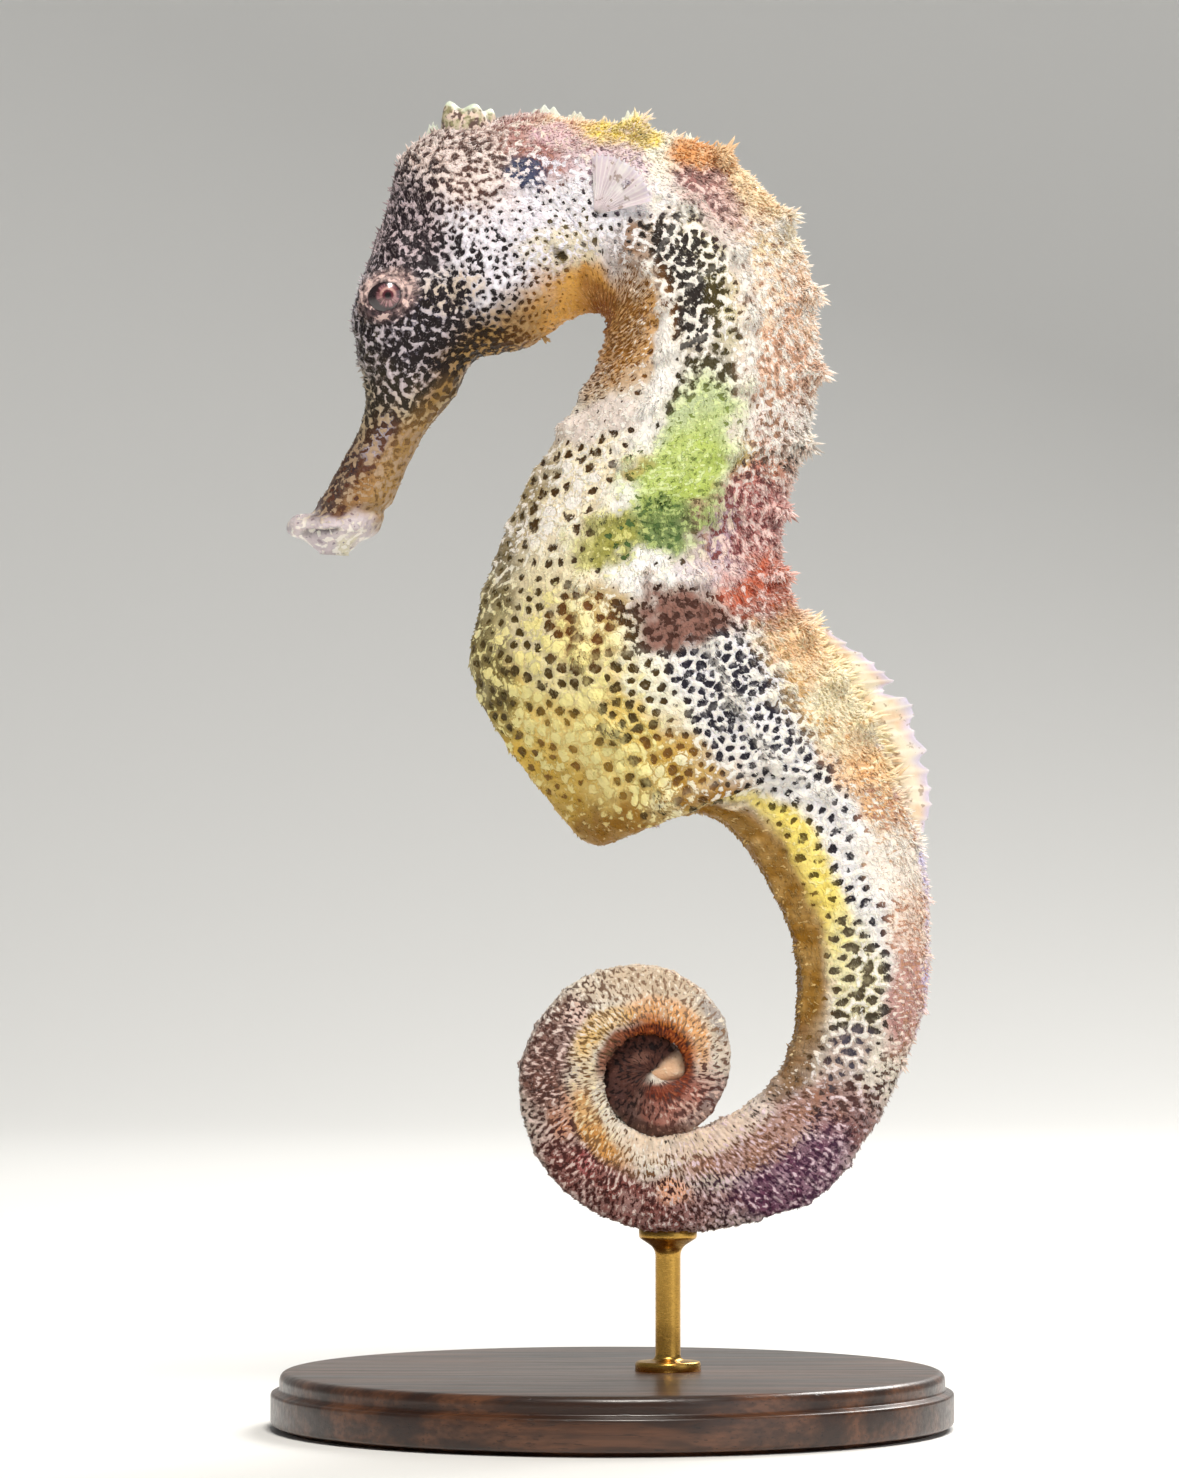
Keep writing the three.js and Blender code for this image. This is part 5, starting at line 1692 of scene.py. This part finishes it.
def build_crown(material):
    """A low crown: a small cup whose rim rises in blunt lobes."""
    low, high = corners_of("coronet")
    turns, rows = 120, 34
    angle = (2 * math.pi * np.arange(turns) / turns)[None]
    t = np.linspace(0, 1, rows)[:, None]
    wall, bowl = np.minimum(t / CROWN_RIM, 1), np.clip((t - CROWN_RIM) / (1 - CROWN_RIM), 0, 1)
    rise = np.sin(math.pi / 2 * wall) - 0.35 * np.sin(math.pi / 2 * bowl)
    wide = (1 - 0.30 * wall**2) * (1 - bowl)
    lobes = 0.5 + 0.5 * np.cos(CROWN_LOBES * angle)
    wide = wide * (1 + 0.18 * (lobes - 0.5) * rise)
    tall = (high[2] - CROWN_FOOT + CROWN_SINK) * rise * (0.80 + 0.20 * lobes * rise)
    x = wide * (high[0] - low[0]) / 2 * np.cos(angle)
    y = wide * (high[1] - low[1]) / 2 * np.sin(angle)
    z = CROWN_FOOT - CROWN_SINK + tall * (1 - CROWN_TILT * x / 2.2)
    points = np.stack([(low[0] + high[0]) / 2 + x, y, z + 0 * x], -1)
    points += 0.07 * np.stack([noise(points, 0.9, k) for k in (1, 2, 3)], -1)
    faces = grid_faces(rows, turns, closed=True)
    cap = np.array([list(range(turns))[::-1]])
    rim = hump(t - 0.58, 0.24) * (0.6 + 0.4 * lobes)
    fields = {"root": points.reshape(-1, 3), "reach": rim.ravel()}
    piece = mesh_piece("crown", points.reshape(-1, 3), [faces, cap], fields=fields)
    dress(piece, material, "skin", "coronet")


# x, z of the foot, height and width of each soft flap on the nape and the back.
FLAPS = [
    (-14.3, 102.1, 1.2, 1.2),
    (-5.4, 103.4, 1.25, 3.0),
    (-3.0, 103.2, 0.95, 1.8),
    (1.3, 102.8, 1.45, 1.9),
    (5.9, 101.3, 1.2, 1.2),
    (-12.2, 102.6, 0.8, 0.9),
]


def build_flaps(material):
    """Small clear flaps of skin that stand up along the nape."""
    for index, (x, z, height, width) in enumerate(FLAPS):
        share, reach = sheet_grid(25, 14, -1)
        arch = np.sqrt(np.clip(1 - (0.85 * share) ** 2, 0, 1))
        tall = height * arch * (0.85 + 0.15 * np.cos(9 * share + index))
        bend = 0.25 * math.sin(2.1 * index) * reach**2 + 0.10 * np.sin(6 * share) * reach
        half = 0.16 * (1 - 0.8 * reach) * (1 - 0.5 * share**2)
        flat_x = x + width / 2 * share * (1 - 0.25 * reach) + 0.15 * reach
        flat_z = z - 0.4 + (tall + 0.4) * reach
        fields = {"reach": reach * np.ones_like(share)}
        piece = slab(f"flap_{index}", lambda offset: (flat_x, bend + offset, flat_z), half, fields)
        dress(piece, material, "skin")


def build_anal_fin(material):
    """The tiny fin under the root of the tail."""
    low, high = corners_of("anal_fin")
    share, reach = sheet_grid(41, 14, -1)
    ray = ray_lines(share, 2, 6)
    middle = (low + high) / 2
    x = middle[0] + (high[0] - low[0]) / 2 * share * (0.75 + 0.2 * reach)
    z = high[2] + 0.3 - (high[2] + 0.3 - low[2]) * reach * (0.86 + 0.14 * ray)
    half = (0.05 + 0.06 * ray) * (1 - 0.6 * reach)
    fields = fin_fields(ray, reach, share, "#dfc07a", "#cfa050")
    piece = slab("anal_fan", lambda offset: (x, offset, z), -half, fields)
    dress(piece, material, "fin", "anal_fin")


# ---- the stand ----

AXIS = 0.02  # radius of the small hole left at a turned solid's axis


def lathe(profile, turns, x=0.0):
    """Points and faces of a turned solid from [radius, height] points that start and end at its axis."""
    radius, height = np.array(profile).T[..., None]
    angle = 2 * math.pi * np.arange(turns) / turns
    points = np.broadcast_arrays(x + radius * np.cos(angle), radius * np.sin(angle), height)
    return np.stack(points, -1).reshape(-1, 3), grid_faces(len(profile), turns, closed=True)


def rounded(corner_from, corner, corner_to, radius, steps=8):
    """Points of a rounded corner between two straight stretches of a profile."""
    a, b, c = (np.array(p, float) for p in (corner_from, corner, corner_to))
    start, end = b + unit(a - b) * radius, b + unit(c - b) * radius
    return [tuple((1 - t) ** 2 * start + 2 * t * (1 - t) * b + t**2 * end) for t in np.linspace(0, 1, steps)]


RIM_STEP = 0.7  # how far the base's top lies inside its edge
FOOT_STEP = 1.2  # and its foot
FOOT_HEIGHT = 0.35
TOP_STEP = 1.5  # from the base's top down to the step in its edge


def build_base(material):
    """The round wooden base, with a rounded edge and a shallow step below its top."""
    low, high = corners_of("stand_base")
    radius, top = high[0], high[2]
    foot, inner, ledge = radius - FOOT_STEP, radius - RIM_STEP, top - TOP_STEP - 0.1
    rim = [(AXIS, low[2]), (foot, low[2]), (foot, FOOT_HEIGHT)]
    rim += rounded((foot, FOOT_HEIGHT), (radius, FOOT_HEIGHT), (radius, top), 0.5)
    rim += rounded((radius, 0.4), (radius, ledge), (radius - 0.8, ledge), 0.3, 5)
    rim += rounded((radius, top - TOP_STEP), (inner, top - TOP_STEP), (inner, top), 0.25, 5)
    rim += rounded((inner, top - 1.0), (inner, top), (0, top), 0.8, 9)
    rim += [(radius * share, top) for share in (0.75, 0.5, 0.25)] + [(AXIS, top)]
    points, faces = lathe(rim, 180)
    piece = mesh_piece("base", points, faces, fields={"root": points})
    dress(piece, material, "base_wood", "stand_base")


ROD_X = 4.4
ROD_RADIUS = 1.0
COLLAR_RADIUS = 2.6
COLLAR_HEIGHT = 0.75
CUP_RADIUS = 2.3
CUP_FOOT_RADIUS = 1.9
CUP_DEPTH = 0.7  # from the tail's underside down to the cup's foot
CUP_RISE = 1.3  # from there up to the cup's face
SKIN_NEAR_CUP = 0.019  # metres above the floor


def build_rod(material, skin):
    """The rod, its collar, and a cup whose face follows the tail."""
    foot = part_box("stand_base")[1][2] / MM
    under = COIL_Z - COIL_RADIUS - COIL_HALF_DEPTHS[0]
    cup = under - CUP_DEPTH
    profile = [(AXIS, foot - 0.2), (COLLAR_RADIUS, foot - 0.2)]
    collar = foot + COLLAR_HEIGHT
    profile += rounded((COLLAR_RADIUS, foot), (COLLAR_RADIUS, collar), (1.5, collar), 0.3)
    profile += rounded((1.9, collar), (ROD_RADIUS, collar + 0.1), (ROD_RADIUS, foot + 2), 0.5)
    profile += [(ROD_RADIUS, z) for z in np.linspace(foot + 2, under - 2.2, 12)]
    profile += rounded((ROD_RADIUS, under - 2.1), (ROD_RADIUS, under - 1.3), (CUP_FOOT_RADIUS, cup), 0.6)
    profile += rounded((CUP_FOOT_RADIUS, cup), (CUP_RADIUS, under - 0.4), (CUP_RADIUS, under + 0.4), 0.25)
    profile += [(CUP_RADIUS, under + 0.5)]
    profile += [(CUP_RADIUS * share, under + 0.6) for share in np.linspace(0.97, 0.02, 12)]
    points, faces = lathe(profile, 96, ROD_X)
    places = [vertex.co.copy() for vertex in skin.data.vertices]
    near = [list(face.vertices) for face in skin.data.polygons if places[face.vertices[0]].z < SKIN_NEAR_CUP]
    tree = BVHTree.FromPolygons(places, near)
    for index in np.flatnonzero(points[:, 2] > cup):
        x, y, z = points[index]
        hit = tree.ray_cast(Vector((x, y, 0.0)) * MM, Vector((0, 0, 1)))[0]
        if hit is not None:
            ceiling = hit.z / MM + 0.03
            points[index, 2] = cup + (z - cup) / CUP_RISE * (ceiling - cup)
    piece = mesh_piece("rod", points, faces, fields={"root": points})
    dress(piece, material, "rod_brass", "stand_rod")


# ---- floor, lights and camera ----

CAMERA_DISTANCE = 650.0
CAMERA_X, CAMERA_Z = -1.8, 54.5
VIEW_HEIGHT = 116.8  # what the camera sees at the model's distance
SENSOR_HEIGHT = 24
FLOOR_FRONT, FLOOR_REAR, FLOOR_SIDE = -1500, 500, 1800
FLOOR_SWEEP = 400  # radius of the sweep up to the wall
WALL_HEIGHT = 1500
LIGHT_AIM = (0, 0, 60)


def build_stage():
    """A pale floor that sweeps up behind the stand."""
    wall = FLOOR_REAR + FLOOR_SWEEP
    bend = np.linspace(0.05, math.pi / 2, 24)
    y = np.concatenate([[FLOOR_FRONT, FLOOR_REAR], FLOOR_REAR + FLOOR_SWEEP * np.sin(bend), [wall]])
    z = np.concatenate([[0, 0], FLOOR_SWEEP - FLOOR_SWEEP * np.cos(bend), [WALL_HEIGHT]])
    x = np.array([-FLOOR_SIDE, FLOOR_SIDE])
    points = np.stack(np.broadcast_arrays(x, y[:, None], z[:, None]), -1)
    floor = mesh_piece("floor", points.reshape(-1, 3), grid_faces(len(y), 2))
    s = Shader("floor")
    s.set(Base_Color=colour("#f3f3f1"), Roughness=0.85, Specular_IOR_Level=0.2)
    floor.data.materials.append(s.material)


def area_light(name, place, size, power, tint):
    """A square light that points at the middle of the model."""
    data = bpy.data.lights.new(name, "AREA")
    data.size = size * MM
    data.energy = power
    data.color = tint
    light = bpy.data.objects.new(name, data)
    light.location = Vector(place) * MM
    light.rotation_euler = (Vector(LIGHT_AIM) - Vector(place)).to_track_quat("-Z", "Y").to_euler()
    bpy.context.scene.collection.objects.link(light)


def build_lights():
    """A warm key light from above, a cool fill from the right, a light on the back and a pale room."""
    area_light("key", (60, -370, 590), 170, 4.0, (1.0, 0.955, 0.89))
    area_light("fill", (480, -420, 160), 420, 0.6, (0.90, 0.95, 1.0))
    area_light("rim", (260, 380, 420), 260, 3.1, (1.0, 0.98, 0.95))
    world = bpy.data.worlds.new("studio")
    world.use_nodes = True
    background = world.node_tree.nodes["Background"].inputs
    background["Color"].default_value = (0.86, 0.88, 0.90, 1)
    background["Strength"].default_value = 0.19
    bpy.context.scene.world = world


def build_camera():
    """The photograph's view, from the animal's left and level with it."""
    data = bpy.data.cameras.new("camera")
    data.sensor_fit = "VERTICAL"
    data.sensor_height = SENSOR_HEIGHT
    data.lens = SENSOR_HEIGHT * CAMERA_DISTANCE / VIEW_HEIGHT
    camera = bpy.data.objects.new("camera", data)
    camera.location = Vector((CAMERA_X, -CAMERA_DISTANCE, CAMERA_Z)) * MM
    camera.rotation_euler = (math.pi / 2, 0, 0)
    bpy.context.scene.collection.objects.link(camera)
    bpy.context.scene.camera = camera
    bpy.context.scene.view_settings.view_transform = "Standard"


# ---- assembly ----

skin = build_skin(hide_material("hide"))
coat = hide_material("coat", coat=True)
build_coat(coat)
build_fringe(coat)
eye = eye_material()
fin = fin_material()
crown = crown_material()
for node_side, sign in (("left", -1), ("right", 1)):
    build_eye(f"eye_{node_side}", sign, eye)
    build_pectoral_fin(f"pectoral_fin_{node_side}", sign, fin)
build_dorsal_fin(fin)
build_anal_fin(fin)
build_crown(crown)
build_flaps(crown)
build_base(wood_material())
build_rod(brass_material(), skin)
build_stage()
build_lights()
build_camera()
